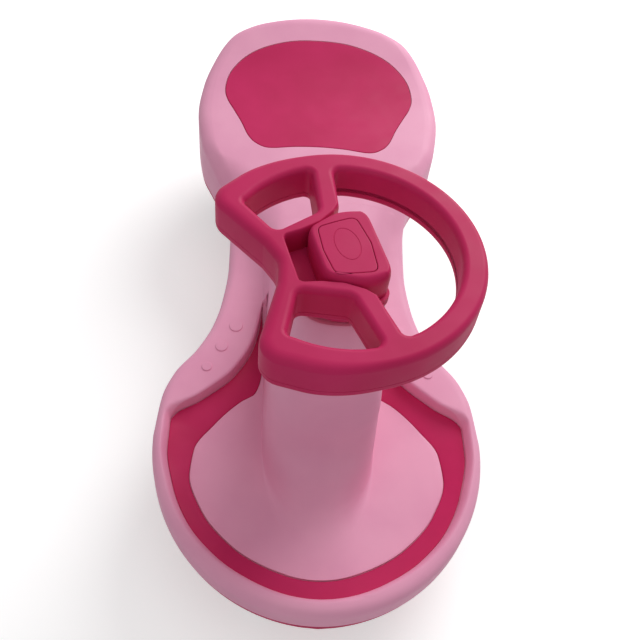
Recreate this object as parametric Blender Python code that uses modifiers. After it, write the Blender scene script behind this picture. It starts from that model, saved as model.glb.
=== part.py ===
"""A child's swing car: moulded body and seat, steering column, wheel, bogie, rear wheels and rollers.

Metres, +Z up. The front of the car is -Y, the seat is towards +Y and the floor is Z = 0.
The steering stands as it was photographed, turned by STEERING_TURN about its column.
"""
import math

import bmesh
import bpy
from mathutils import Matrix, Vector

# Body outline in plan: a half ellipse at the front, then half-widths along the car.
# Half-widths in the lists below are shares of the half-width of the dish
FRONT_Y = -0.382
REAR_Y = 0.382
DISH_CENTRE_Y = -0.200
DISH_HALF_WIDTH = 0.166
BODY_HALF_WIDTHS = [
    (DISH_CENTRE_Y, 1.0), (-0.157, 0.9759), (-0.127, 0.9157), (-0.096, 0.7892), (-0.062, 0.6958),
    (-0.028, 0.6476), (0.02, 0.6175), (0.067, 0.6205), (0.1, 0.6566), (0.144, 0.7831), (0.18, 0.8705),
    (0.238, 0.9157), (0.276, 0.8916), (0.315, 0.8193), (0.35, 0.6928), (0.368, 0.512), (0.378, 0.2771),
    (REAR_Y, 0.0),
]

# Foot band, whose outer edge becomes the inner edge of the raised wings beside the column
BAND_FRONT_Y = -0.363
BAND_INNER_FRONT_Y = -0.342
BAND_TIP_Y = -0.031
BAND_TIP = 0.3735
BAND_OUTER = [
    (BAND_FRONT_Y, 0.0), (-0.349, 0.3494), (-0.326, 0.5693), (-0.291, 0.756), (-0.255, 0.8554),
    (-0.208, 0.9157), (-0.18, 0.9157), (-0.17, 0.8855), (-0.154, 0.747), (-0.122, 0.5482),
    (-0.085, 0.4337), (-0.06, 0.3976), (BAND_TIP_Y, BAND_TIP),
]
BAND_INNER = [
    (BAND_INNER_FRONT_Y, 0.0), (-0.334, 0.241), (-0.311, 0.488), (-0.275, 0.6777), (-0.236, 0.7651),
    (-0.208, 0.75), (-0.18, 0.6446), (-0.15, 0.4819), (-0.14, 0.3976), (-0.12, 0.3614),
    (-0.084, 0.3434), (-0.049, 0.3614), (BAND_TIP_Y, BAND_TIP),
]
BAND_END_Y = -0.049
INSERT_THICKNESS = 0.0015
INSERT_DEPTH = 0.0027
INSERT_GAP = 0.0009

# Heights along the body
FLOOR_Z = 0.098
BAND_RISES = [(BAND_FRONT_Y, 0.007), (-0.200, 0.007), (-0.150, 0.0055), (-0.085, 0.002), (BAND_TIP_Y, 0.0)]
RIM_EDGE_Z = 0.1075
WING_EDGE_Z = 0.1175
CROWN_HEIGHTS = [
    (FRONT_Y, 0.1165), (-0.200, 0.1165), (-0.150, 0.1180), (BAND_TIP_Y, 0.1195), (0.020, 0.1240),
    (0.060, 0.1310), (0.100, 0.1480), (0.150, 0.1690), (0.200, 0.1765), (0.250, 0.1830),
    (0.300, 0.1940), (0.350, 0.2120), (REAR_Y, 0.2250),
]
SPINE_HEIGHTS = [
    (-0.020, 0.152), (0.020, 0.160), (0.060, 0.165), (0.100, 0.169), (0.150, 0.174),
    (0.200, 0.178), (0.250, 0.184), (0.300, 0.195), (0.350, 0.213), (REAR_Y, 0.2255),
]
SPINE_HALF_WIDTHS = [
    (-0.02, 0.3434), (0.02, 0.3072), (0.06, 0.3012), (0.1, 0.3735), (0.13, 0.5301),
]
SEAT_START_Y = 0.150
SEAT_RAMP = 0.025
SEAT_SHOULDER = 0.018
SEAT_FOOT = 0.0144
SEAT_FALL = 0.0004
FLANK_WIDTHS = [
    (BAND_TIP_Y, 0.3765), (0.0, 0.3855), (0.03, 0.4096), (0.06, 0.4398), (0.1, 0.5181),
]
FLANK_HEIGHTS = [(BAND_TIP_Y, 0.1205), (0.0, 0.128), (0.030, 0.139), (0.060, 0.151), (0.100, 0.162)]
LIP_HEIGHTS = [
    (FRONT_Y, 0.0905), (-0.050, 0.0905), (0.050, 0.102), (0.120, 0.111), (0.300, 0.116), (REAR_Y, 0.127),
]
SHELL_WALL = 0.003
RECESS_WALL = 0.002
WING_START_Y = -0.176
WING_RAMP = 0.014
BAND_EDGE_ROUND = 0.0035

# Rounded edge all round the body: distance from the outline and fall below the crown
EDGE_DROPS = [(0.0, 0.008), (0.002, 0.003), (0.006, 0.0003), (0.011, 0.0)]
EDGE_COLUMNS = (0.011, 0.006, 0.002)

# Places along the body where its section is drawn, besides those at its round ends
MID_STATIONS = [
    -0.355, -0.333, -0.324, -0.182, -0.170, -0.162, -0.148, -0.130, -0.108, -0.083, -0.057, -0.020,
    0.015, 0.045, 0.075, 0.102, 0.128, 0.154, 0.188, 0.225, 0.255,
]
TIP_STEP = 0.001

# Raised discs on the wings: distance from the middle, place along the car, diameter
BUBBLES = [
    (0.5422, -0.066, 0.0147), (0.6265, -0.094, 0.0132), (0.7108, -0.121, 0.011),
]
BUBBLE_HEIGHT = 0.0012

# Seat pad, half outline from the front edge round to the back
PAD_HALF_OUTLINE = [
    (0.0, 0.173), (0.1807, 0.1715), (0.3675, 0.1675), (0.4639, 0.174), (0.5271, 0.187),
    (0.5813, 0.2085), (0.6416, 0.2285), (0.6988, 0.247), (0.7199, 0.264), (0.6958, 0.287),
    (0.6235, 0.307), (0.5181, 0.3225), (0.3735, 0.334), (0.1988, 0.3415), (0.0, 0.3435),
]

# Steering column: share of its height above the floor plate, front, back, half-width as a share of the
# dish, and how square its section is ahead and behind
STEER_Y = -0.185
COLUMN_TOP_Z = 0.3275
COLUMN_SECTIONS = [
    (-0.0065, -0.29, 0.03, 0.3464, 2.0, 6.0), (0.0523, -0.28, 0.035, 0.3434, 2.1, 6.0),
    (0.1394, -0.258, 0.042, 0.3404, 2.4, 6.0), (0.2266, -0.243, 0.048, 0.3343, 2.7, 6.0),
    (0.2963, -0.237, 0.056, 0.3283, 2.9, 4.6), (0.3268, -0.2355, 0.03, 0.3265, 2.9, 3.9),
    (0.3704, -0.234, 0.003, 0.3253, 3.0, 3.4), (0.4444, -0.2305, -0.034, 0.3193, 3.0, 3.0),
    (0.5534, -0.228, -0.072, 0.2982, 3.0, 2.8), (0.6841, -0.2262, -0.104, 0.2741, 2.9, 2.6),
    (0.8366, -0.2242, -0.13, 0.25, 2.7, 2.5), (0.9869, -0.2225, -0.147, 0.2319, 2.4, 2.4),
    (1.0, -0.2195, -0.15, 0.2139, 2.4, 2.4),
]
COLUMN_WALL = 0.004
COLUMN_TOP_WALL = 0.004
COLUMN_SIDES = 24

# Lower shell: keel half-width, keel depth and the height of the shelf beside it along the car
KEEL_WIDTHS = [
    (-0.06, 0.5783), (-0.02, 0.506), (0.05, 0.4759), (0.31, 0.4759), (0.35, 0.3855),
]
KEEL_DEPTHS = [
    (-0.060, 0.0), (-0.010, 0.0090), (0.060, 0.038), (0.130, 0.070), (0.300, 0.071), (0.345, 0.040),
    (0.360, 0.0),
]
SHELF_HEIGHTS = [
    (-0.060, 0.0805), (0.0, 0.0845), (0.060, 0.094), (0.130, 0.104), (0.310, 0.105), (REAR_Y, 0.120),
]
UNDERSIDE_Z = 0.0805
CHASSIS_INSET = 0.002
CHASSIS_EDGE = 0.012
LIP_GAP = 0.0008
STEER_BOSS_RADIUS = 0.0155
STEER_BOSS_TOP_Z = 0.128

# Steering wheel, in its own frame: u to its right, v away from its notch, as photographed
STEERING_TURN = math.radians(-74.4)
WHEEL_RADIUS = 0.113
WHEEL_HEIGHT = 0.034
WHEEL_BOTTOM_Z = COLUMN_TOP_Z + 0.0165
WHEEL_TOP_Z = WHEEL_BOTTOM_Z + WHEEL_HEIGHT
WHEEL_PART_Z = WHEEL_BOTTOM_Z + 0.007
WHEEL_EDGE_ROUND = 0.0055
WHEEL_WALL = 0.0025
WHEEL_PART_GAP = 0.0003
GRIP_INNER_RADIUS = 0.0925
SIDE_GRIP_INNER_RADIUS = 0.0945
NOTCH_APEX_V = -0.0485
NOTCH_APEX_ROUND = 0.020
NOTCH_LINE_U = 0.023
NOTCH_LINE_V = -0.056
LOBE_U = 0.080
LOBE_V = -0.0865
LOBE_ROUND = 0.014
SIDE_WINDOW = [(0.046, -0.009, 0.006), (0.0315, -0.048, 0.006), (0.069, -0.066, 0.006)]
SIDE_WINDOW_TOP_V = -0.001
WINDOW_ROUND = 0.006
SPOKE_OUTER_U = 0.0905
SPOKE_OUTER_V = 0.0175
SPOKE_INNER_U = 0.045
SPOKE_INNER_V = 0.009
HUB_FLOOR_Z = WHEEL_BOTTOM_Z + 0.011
HUB_FLOOR_WALL = 0.0025
HUB_BOSS_RADIUS = 0.036
HUB_BOSS_BOTTOM_Z = COLUMN_TOP_Z + 0.0025
HUB_TUBE_RADIUS = 0.0125
POCKET = [(0.024, -0.0435, 0.003), (0.0265, -0.028, 0.004),
          (0.032, -0.011, 0.004), (0.0415, 0.003, 0.003), (0.052, 0.0125, 0.0), (0.052, 0.060, 0.0)]

# Horn housing and its button, in the wheel's frame
HORN_OUTLINE = [(-0.025, -0.0235, 0.010), (0.025, -0.0235, 0.010), (0.0385, 0.004, 0.018),
                (0.0355, 0.0275, 0.011), (-0.0355, 0.0275, 0.011), (-0.0385, 0.004, 0.018)]
HORN_TOP_Z = WHEEL_TOP_Z + 0.004
HORN_EDGE_ROUND = 0.004
HUB_RIM_AROUND_HORN = 0.0015
BUTTON_OUTLINE = [(-0.022, -0.0175, 0.004), (0.022, -0.0175, 0.004), (0.0285, 0.001, 0.010),
                  (0.0255, 0.0185, 0.0045), (-0.0255, 0.0185, 0.0045), (-0.0285, 0.001, 0.010)]
BUTTON_GAP = 0.0005
BUTTON_FLANGE = 0.0015
BUTTON_THICKNESS = 0.003
BUTTON_FLANGE_THICKNESS = 0.0015
BUTTON_EDGE_ROUND = 0.0007
SPRING_RADIUS = 0.010
SPRING_WIRE = 0.0006
SPRING_TURNS = 3

# Steering shaft and its bearings
SHAFT_RADIUS = 0.008
SHAFT_BORE = 0.006
SHAFT_BOTTOM_Z = 0.044
SHAFT_CLEARANCE = 0.0003
BUSH_RADIUS = 0.0110
BUSH_FLANGE_RADIUS = 0.015
BUSH_FLANGE = 0.002
BUSH_LENGTH = 0.022
BUSH_BOSS_SPARE = 0.004
UPPER_BUSH_BOSS_RADIUS = 0.0150
BOSS_FIT = 0.0003
THRUST_WASHER = 0.0016
BOLT_RADIUS = 0.004
BOLT_HEAD_RADIUS = 0.0065
BOLT_HEAD_HEIGHT = 0.005
BOLT_WASHER = 0.0018
BOLT_WASHER_RADIUS = 0.0085
BOLT_PAST = 0.003
PLUG_LENGTH = 0.022
PLUG_SUNK = 0.001

# Steering bogie: its axle lies on the notch side of the column
BOGIE_OFFSET = 0.045
FRONT_WHEEL_RADIUS = 0.038
FRONT_WHEEL_WIDTH = 0.028
FRONT_WHEEL_PLACE = 0.054
YOKE_BOSS_RADIUS = 0.0155
YOKE_TUBE_RADIUS = 0.0115
YOKE_HALF_WIDTH = 0.036
YOKE_BOTTOM_Z = 0.030
YOKE_ARM_WIDTH = 0.022
YOKE_ARM_DEPTH = 0.007
CROSS_RADIUS = 0.0025
CROSS_HEAD_RADIUS = 0.0048
CROSS_HEAD = 0.0035
CROSS_PAST = 0.004
CROSS_NUT = 0.0028
AXLE_RADIUS = 0.004
AXLE_FIT = 0.0003
WASHER_GAP = 0.0005

# Rear wheels
REAR_AXLE_Y = 0.235
REAR_WHEEL_RADIUS = 0.050
REAR_WHEEL_WIDTH = 0.032
REAR_WHEEL_PLACE = 0.1015
REAR_AXLE_RADIUS = 0.005
AXLE_BOSS_RADIUS = 0.011
AXLE_BOSS_DEPTH = 0.010
AXLE_BOSS_PROUD = 0.0015
TYRE_THICKNESS = 0.007
TYRE_SHOULDER = 0.0035
HUB_WALL = 0.005
HUB_WEB = 0.006
WASHER_WALL = 0.004
CAP_LENGTH = 0.010
CAP_RADIUS = 0.009

# Anti-tip rollers under the nose
ROLLER_X = 0.055
ROLLER_Y = -0.325
ROLLER_RADIUS = 0.020
ROLLER_WIDTH = 0.016
ROLLER_LIFT = 0.005
ROLLER_EDGE = 0.0025
ROLLER_EAR_GAP = 0.001
EAR_WALL = 0.003
EAR_HALF_LENGTH = 0.011
PIN_RADIUS = 0.003

# Fasteners
SCREW_RADIUS = 0.0018
SCREW_HEAD_RADIUS = 0.0038
SCREW_HEAD_HEIGHT = 0.0022
SCREW_BOSS_RADIUS = 0.0055
SCREW_FIT = 0.0003
BODY_SCREWS = [
    (0.0, -0.362), (0.5904, -0.272), (0.5783, -0.066), (0.6145, 0.15), (0.5904, 0.312),
]
BODY_SCREW_LENGTH = 0.012
WHEEL_SCREW_RADIUS = 0.1025
WHEEL_SCREW_ANGLES = [-30, 15, 62, 118, 165, 210]
WHEEL_SCREW_BOSS = 0.0040
WHEEL_SCREW_HEAD = 0.0030
WHEEL_SCREW_LENGTH = 0.014
HORN_SCREW_U = 0.025

TOUCH_GAP = 0.0003
CUT_PAST = 0.010
MERGE = 0.00001

LIGHT_PINK = ("light pink polypropylene", (0.86, 0.40, 0.57), 0.38, 0.0)
DARK_PINK = ("dark pink polypropylene", (0.50, 0.048, 0.135), 0.42, 0.0)
STEEL = ("zinc plated steel", (0.62, 0.62, 0.64), 0.35, 1.0)
NYLON = ("natural nylon", (0.80, 0.78, 0.72), 0.5, 0.0)
GREY_PLASTIC = ("grey wheel plastic", (0.30, 0.30, 0.32), 0.5, 0.0)
TYRE = ("soft wheel tread", (0.035, 0.035, 0.038), 0.7, 0.0)


def smooth(points, place):
    """The value at a place on a curve through (place, value) points that never overshoots them."""
    if place <= points[0][0]:
        return points[0][1]
    if place >= points[-1][0]:
        return points[-1][1]
    k = max(i for i in range(len(points) - 1) if points[i][0] <= place)
    slopes = [(b[1] - a[1]) / (b[0] - a[0]) for a, b in zip(points, points[1:])]

    def tangent(i):
        if i == 0:
            return slopes[0]
        if i == len(points) - 1:
            return slopes[-1]
        before, after = slopes[i - 1], slopes[i]
        return 0.0 if before * after <= 0 else 2 * before * after / (before + after)

    span = points[k + 1][0] - points[k][0]
    t = (place - points[k][0]) / span
    return ((2 * t**3 - 3 * t**2 + 1) * points[k][1] + (t**3 - 2 * t**2 + t) * span * tangent(k)
            + (3 * t**2 - 2 * t**3) * points[k + 1][1] + (t**3 - t**2) * span * tangent(k + 1))


def round_ended(points, y):
    """A half-width whose square is interpolated, so that an outline's ends come out round."""
    return math.sqrt(max(0.0, smooth([(place, width * width) for place, width in points], y)))


def body_half_width(y):
    if y <= DISH_CENTRE_Y:
        reach = (DISH_CENTRE_Y - y) / (DISH_CENTRE_Y - FRONT_Y)
        return DISH_HALF_WIDTH * math.sqrt(max(0.0, 1 - reach * reach))
    return DISH_HALF_WIDTH * round_ended(BODY_HALF_WIDTHS, y)


def band_outer(y):
    return 0.0 if y <= BAND_FRONT_Y else DISH_HALF_WIDTH * round_ended(BAND_OUTER, y)


def band_inner(y):
    return 0.0 if y <= BAND_INNER_FRONT_Y else DISH_HALF_WIDTH * round_ended(BAND_INNER, y)


def spine_half_width(y):
    """Half-width of the flat top of the spine and seat, behind the tips of the band."""
    if y > SEAT_START_Y:
        return max(0.0, body_half_width(y) - SEAT_SHOULDER)
    seat = (SEAT_START_Y, (body_half_width(SEAT_START_Y) - SEAT_SHOULDER) / DISH_HALF_WIDTH)
    return DISH_HALF_WIDTH * smooth([(BAND_TIP_Y, BAND_TIP)] + SPINE_HALF_WIDTHS + [seat], y)


def band_surface(x, y):
    """Height of the foot band: flush with the floor plate inside, higher at its outer edge."""
    inner, outer = band_inner(y), band_outer(y)
    share = 0.0 if outer - inner < MERGE else (abs(x) - inner) / (outer - inner)
    if y < BAND_INNER_FRONT_Y:
        share = 1 - (1 - share) * (y - BAND_FRONT_Y) / (BAND_INNER_FRONT_Y - BAND_FRONT_Y)
    return FLOOR_Z + smooth(BAND_RISES, y) * min(1.0, max(0.0, share))


def round_end(start, length, count):
    """Places from a round end inwards, closest together at the end itself."""
    return [start + length * (1 - math.cos(math.pi / 2 * i / count)) for i in range(count + 1)]


def spaced(places, least):
    """The places in order, without any that follow closer than the least distance."""
    kept = []
    for y in sorted(places):
        if not kept or y - kept[-1] >= least:
            kept.append(y)
    return kept


def body_stations():
    """Places along the car, close together at each round end and at the ends of the recess."""
    ends = round_end(FRONT_Y, 0.182, 7) + round_end(REAR_Y, -0.100, 6)
    tips = [BAND_FRONT_Y, BAND_FRONT_Y + TIP_STEP, BAND_INNER_FRONT_Y, BAND_INNER_FRONT_Y + TIP_STEP]
    tips += [BAND_TIP_Y - TIP_STEP, BAND_TIP_Y]
    apart = [y for y in ends + MID_STATIONS if min(abs(y - tip) for tip in tips) > 0.002]
    return sorted(tips + apart)


def edge_distance(x, y):
    """How far a place lies inside the body's outline, in plan."""
    if y <= DISH_CENTRE_Y:
        across, along = x / DISH_HALF_WIDTH, (DISH_CENTRE_Y - y) / (DISH_CENTRE_Y - FRONT_Y)
        share = math.hypot(across, along)
        return math.hypot(x, DISH_CENTRE_Y - y) * (1 / share - 1) if 0 < share < 1 else 0.0
    step = 0.0005
    before, after = body_half_width(y - step), body_half_width(min(REAR_Y, y + step))
    slope = (after - before) / (min(REAR_Y, y + step) - y + step)
    return max(0.0, body_half_width(y) - x) / math.hypot(1, slope)


def edge_drop(x, y):
    """How far the rounded edge has fallen below the crown at a place."""
    return smooth(EDGE_DROPS, edge_distance(x, y))


def front_levels(y):
    """Heights ahead of the band's tips: floor plate, both edges of the recess, and the rim beside it."""
    inner, outer = band_inner(y), band_outer(y)
    crown = smooth(CROWN_HEIGHTS, y)
    if y <= BAND_FRONT_Y:
        reach = (y - FRONT_Y) / (BAND_FRONT_Y - FRONT_Y)
        level = crown - (crown - RIM_EDGE_Z) * max(0.0, reach - 0.5) * 2
        return level, level, level, level
    wing = min(1.0, max(0.0, (y - WING_START_Y) / WING_RAMP))
    outer_z = RIM_EDGE_Z + (WING_EDGE_Z - RIM_EDGE_Z) * wing
    low = band_surface(inner, y) - INSERT_DEPTH
    high = band_surface(outer, y) - INSERT_DEPTH
    floor = low if y <= BAND_INNER_FRONT_Y else FLOOR_Z
    return floor, low, high, outer_z


def body_section(y):
    """Half a cross-section of the solid body, from the middle over the top, down to the lip and back."""
    width = body_half_width(y)
    crown = smooth(CROWN_HEIGHTS, y)
    edges = [max(0.0, width - inset) for inset in EDGE_COLUMNS]
    if y < BAND_TIP_Y:
        inner, outer = band_inner(y), band_outer(y)
        floor, low, high, outer_z = front_levels(y)
        points = [(0.0, floor), (inner * 0.5, floor), (inner, floor), (inner, low),
                  ((inner + outer) / 2, (low + high) / 2), (outer, high), (outer, outer_z)]
        foot = min(outer + BAND_EDGE_ROUND, edges[0])
        foot_z = outer_z + (crown - outer_z) * 0.45
    else:
        top = smooth(SPINE_HEIGHTS, y) if y > BAND_TIP_Y else crown
        inner = spine_half_width(y)
        points = [(0.0, top), (inner * 0.5, top)] + [(inner, top)] * 5
        foot, foot_z = flank_point(y, top)
    points += [(foot, foot_z)] + [(x, crown) for x in edges] + [(width, crown)]
    section = [Vector((x, y, z - edge_drop(x, y))) for x, z in points]
    lip = smooth(LIP_HEIGHTS, y)
    return section + [Vector((width, y, lip)), Vector((0.0, y, lip))]


def flank_point(y, top):
    """A point on the flank between the spine's edge and the body's edge."""
    if y > SEAT_START_Y:
        return max(0.0, body_half_width(y) - SEAT_FOOT), top - SEAT_FALL
    last = (SEAT_START_Y, (body_half_width(SEAT_START_Y) - SEAT_FOOT) / DISH_HALF_WIDTH)
    last_z = (SEAT_START_Y, smooth(SPINE_HEIGHTS, SEAT_START_Y) - SEAT_FALL)
    return DISH_HALF_WIDTH * smooth(FLANK_WIDTHS + [last], y), smooth(FLANK_HEIGHTS + [last_z], y)


def seat_sunk(y):
    """How much lower the inside lies under the seat, below the pad's recess."""
    return INSERT_DEPTH * min(1.0, max(0.0, (y - SEAT_START_Y) / SEAT_RAMP + 1.0))


def core_section(y):
    """Half a cross-section of the space inside the body's wall."""
    wall = SHELL_WALL
    width = max(0.0, body_half_width(y) - wall)
    crown = smooth(CROWN_HEIGHTS, y) - wall
    if y < BAND_TIP_Y:
        inner, outer = band_inner(y), band_outer(y)
        floor, low, high, outer_z = front_levels(y)
        if y <= BAND_FRONT_Y:
            low = high = outer_z - INSERT_DEPTH
        under = RECESS_WALL
        points = [(0.0, low - under), (inner, low - under), (outer, high - under),
                  (outer + wall, min(outer_z, crown + wall) - wall)]
    else:
        top = smooth(SPINE_HEIGHTS, y) if y > BAND_TIP_Y else crown
        inner = spine_half_width(y)
        sunk = wall + seat_sunk(y)
        foot, foot_z = flank_point(y, top)
        points = [(0.0, top - sunk), (inner * 0.7, top - sunk),
                  (inner - wall * 0.5, top - sunk - wall * 0.45), (foot - wall * 0.3, foot_z - sunk)]
        crown -= seat_sunk(y)
    points += [(width - 0.008, crown), (width - 0.003, crown), (width, crown)]
    bottom = smooth(LIP_HEIGHTS, y) - 0.02
    section = []
    reached = 0.0
    for x, z in points:
        reached = min(width, max(reached, x))
        section.append(Vector((reached, y, z - edge_drop(reached + wall, y))))
    return section + [Vector((width, y, bottom)), Vector((0.0, y, bottom))]


def core_rows():
    """Sections of the inside, closed at both ends on the middle line."""
    front, rear = FRONT_Y + SHELL_WALL, REAR_Y - SHELL_WALL
    rows = [core_section(y) for y in spaced(body_stations(), 0.006) if front + 0.001 < y < rear - 0.001]
    ends = []
    for y in (front, rear):
        end = core_section(y)
        top = min(point.z for point in end[:-2])
        ends.append([Vector((0.0, y, top)) for _ in end[:-2]] + [Vector((0.0, y, end[-1].z))] * 2)
    return [ends[0]] + rows + [ends[1]]


def collection(name, shown=True):
    group = bpy.data.collections.new(name)
    bpy.context.scene.collection.children.link(group)
    group.hide_render = not shown
    return group


def material(spec):
    name, colour, roughness, metallic = spec
    found = bpy.data.materials.get(name)
    if found:
        return found
    made = bpy.data.materials.new(name)
    made.use_nodes = True
    shader = made.node_tree.nodes["Principled BSDF"]
    shader.inputs["Base Color"].default_value = (*colour, 1.0)
    shader.inputs["Roughness"].default_value = roughness
    shader.inputs["Metallic"].default_value = metallic
    made.diffuse_color = (*colour, 1.0)
    return made


def mesh_object(name, mesh, finish=None, parent=None):
    """A part when it has a finish, otherwise a cutter or a joined piece that is not a part."""
    made = bpy.data.objects.new(name, mesh)
    if finish:
        PARTS.objects.link(made)
        mesh.materials.append(material(finish))
        mesh.set_sharp_from_angle(angle=math.radians(35))
    else:
        CUTTERS.objects.link(made)
        made.hide_render = True
        made.display_type = "WIRE"
    made.parent = parent
    return made


def from_bmesh(name, shape, finish=None, parent=None):
    mesh = bpy.data.meshes.new(name)
    shape.to_mesh(mesh)
    shape.free()
    mesh.shade_smooth()
    return mesh_object(name, mesh, finish, parent)


def sheet(name, rows, finish=None, parent=None):
    """An open surface through rows of points, for lofts between unlike sections."""
    shape = bmesh.new()
    grid = [[shape.verts.new(point) for point in row] for row in rows]
    for row, following in zip(grid, grid[1:]):
        for j in range(len(row) - 1):
            shape.faces.new((row[j], row[j + 1], following[j + 1], following[j]))
    bmesh.ops.remove_doubles(shape, verts=shape.verts, dist=MERGE)
    bmesh.ops.dissolve_degenerate(shape, edges=shape.edges, dist=MERGE)
    bmesh.ops.triangulate(shape, faces=shape.faces, quad_method="FIXED")
    return from_bmesh(name, shape, finish, parent)


def stack(name, loops, finish=None, parent=None):
    """A closed solid through level loops of points, from the bottom up."""
    shape = bmesh.new()
    rings = [[shape.verts.new(point) for point in loop] for loop in loops]
    for ring, upper in zip(rings, rings[1:]):
        for j in range(len(ring)):
            after = (j + 1) % len(ring)
            shape.faces.new((ring[j], ring[after], upper[after], upper[j]))
    shape.faces.new(list(reversed(rings[0])))
    shape.faces.new(rings[-1])
    return from_bmesh(name, shape, finish, parent)


def mirrored(target):
    mirror = target.modifiers.new("mirror", "MIRROR")
    mirror.use_axis[0] = True
    mirror.merge_threshold = 0.0001
    return target


def thickened(target, thickness):
    solid = target.modifiers.new("wall", "SOLIDIFY")
    solid.thickness = thickness
    solid.offset = -1.0
    return target


def boolean(target, tool, operation):
    step = target.modifiers.new(tool.name, "BOOLEAN")
    step.operation = operation
    step.object = tool
    step.solver = "EXACT"
    return target


def cut(target, tool):
    return boolean(target, tool, "DIFFERENCE")


def join(target, tool):
    return boolean(target, tool, "UNION")


def box(name, low, high, finish=None, parent=None):
    shape = bmesh.new()
    bmesh.ops.create_cube(shape, size=1.0)
    low, high = Vector(low), Vector(high)
    size = high - low
    bmesh.ops.scale(shape, vec=size, verts=shape.verts)
    bmesh.ops.translate(shape, vec=(low + high) / 2, verts=shape.verts)
    return from_bmesh(name, shape, finish, parent)


def rod(name, radius, start, end, finish=None, parent=None, sides=16):
    """A cylinder from one point to another."""
    start, end = Vector(start), Vector(end)
    shape = bmesh.new()
    length = (end - start).length
    bmesh.ops.create_cone(shape, cap_ends=True, segments=sides, radius1=radius, radius2=radius, depth=length)
    turn = Vector((0, 0, 1)).rotation_difference(end - start).to_matrix().to_4x4()
    bmesh.ops.transform(shape, matrix=Matrix.Translation((start + end) / 2) @ turn, verts=shape.verts)
    return from_bmesh(name, shape, finish, parent)


def turned(name, profile, finish=None, parent=None, sides=24):
    """A body turned about Z from a profile of (radius, height), down its outer side.

    A profile with both ends on the axis makes a solid body, and any other closes into a ring.
    """
    shape = bmesh.new()
    points = [shape.verts.new((radius, 0, height)) for radius, height in profile]
    solid = profile[0][0] == 0 and profile[-1][0] == 0
    for start, end in zip(points, points[1:] if solid else points[1:] + points[:1]):
        shape.edges.new((start, end))
    made = from_bmesh(name, shape, finish, parent)
    screw = made.modifiers.new("turn", "SCREW")
    screw.steps = sides
    screw.render_steps = sides
    screw.use_merge_vertices = True
    screw.merge_threshold = 0.00001
    screw.use_smooth_shade = True
    return made


def ring(name, outer, inner, low, high, finish=None, parent=None, sides=24):
    return turned(name, [(outer, high), (outer, low), (inner, low), (inner, high)], finish, parent, sides)


def laid_along_x(made, place):
    """Turns a piece made about Z so that its axis lies along its parent's X."""
    made.rotation_euler = (0, math.pi / 2, 0)
    made.location = place
    return made


def rounded(corners, steps=2):
    """An outline of (u, v, radius) corners with each corner replaced by an arc."""
    outline = []
    for i, (u, v, radius) in enumerate(corners):
        here = Vector((u, v))
        before = (Vector(corners[i - 1][:2]) - here)
        after = (Vector(corners[(i + 1) % len(corners)][:2]) - here)
        if radius <= 0:
            outline.append(here)
            continue
        half = before.angle(after) / 2
        reach = min(radius / math.tan(half), before.length * 0.49, after.length * 0.49)
        radius = reach * math.tan(half)
        centre = here + (before.normalized() + after.normalized()).normalized() * (radius / math.sin(half))
        start = here + before.normalized() * reach - centre
        sweep = start.angle_signed(here + after.normalized() * reach - centre)
        for step in range(steps + 1):
            outline.append(centre + Matrix.Rotation(-sweep * step / steps, 2) @ start)
    return outline


def plate(name, outlines, low, high, edge=0.0, inset=0.0, finish=None, parent=None):
    """A flat plate with holes, from a 2D curve with rounded edges, made a mesh."""
    curve = bpy.data.curves.new(name, "CURVE")
    curve.dimensions = "2D"
    curve.fill_mode = "BOTH"
    curve.extrude = (high - low) / 2 - edge
    curve.bevel_depth = edge
    curve.bevel_resolution = 1
    curve.offset = -edge - inset
    for outline in outlines:
        spline = curve.splines.new("POLY")
        spline.points.add(len(outline) - 1)
        for point, place in zip(spline.points, outline):
            point.co = (place[0], place[1], 0.0, 1.0)
        spline.use_cyclic_u = True
    drawn = bpy.data.objects.new(name + " curve", curve)
    CUTTERS.objects.link(drawn)
    bpy.context.view_layer.update()
    mesh = bpy.data.meshes.new_from_object(drawn.evaluated_get(bpy.context.evaluated_depsgraph_get()))
    bpy.data.objects.remove(drawn)
    shape = bmesh.new()
    shape.from_mesh(mesh)
    bmesh.ops.remove_doubles(shape, verts=shape.verts, dist=MERGE)
    bmesh.ops.dissolve_degenerate(shape, edges=shape.edges, dist=MERGE)
    bmesh.ops.translate(shape, vec=(0, 0, (low + high) / 2), verts=shape.verts)
    bmesh.ops.recalc_face_normals(shape, faces=shape.faces)
    bpy.data.meshes.remove(mesh)
    return from_bmesh(name, shape, finish, parent)


def grown(corners, amount):
    """The same corners moved away from the middle of the outline, with their arcs grown too."""
    points = [Vector(corner[:2]) for corner in corners]
    moved = []
    for i, (here, corner) in enumerate(zip(points, corners)):
        along_in = (here - points[i - 1]).normalized()
        along_out = (points[(i + 1) % len(points)] - here).normalized()
        out_in = Vector((along_in.y, -along_in.x))
        out_out = Vector((along_out.y, -along_out.x))
        away = (out_in + out_out).normalized()
        place = here + away * (amount / max(0.2, away.dot(out_in)))
        moved.append((place.x, place.y, max(0.0, corner[2] + amount)))
    return moved


def column_sections():
    """The column's sections from the bottom up, with their heights and half-widths in metres."""
    rise = COLUMN_TOP_Z - FLOOR_Z
    return [(FLOOR_Z + share * rise, front, back, width * DISH_HALF_WIDTH, ahead, behind)
            for share, front, back, width, ahead, behind in COLUMN_SECTIONS]


def column_loop(z, front, back, half_width, square_ahead, square_behind, wall):
    """A level ring round the column: its widest place is at the steering axis."""
    half_width -= wall
    loop = []
    for i in range(COLUMN_SIDES):
        angle = 2 * math.pi * i / COLUMN_SIDES
        across, along = math.cos(angle), math.sin(angle)
        reach = (back - wall - STEER_Y) if along > 0 else (STEER_Y - front - wall)
        power = 2 / (square_behind if along > 0 else square_ahead)
        x = half_width * math.copysign(abs(across) ** power, across)
        y = STEER_Y + reach * math.copysign(abs(along) ** power, along)
        loop.append(Vector((x, y, z)))
    return loop


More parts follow.
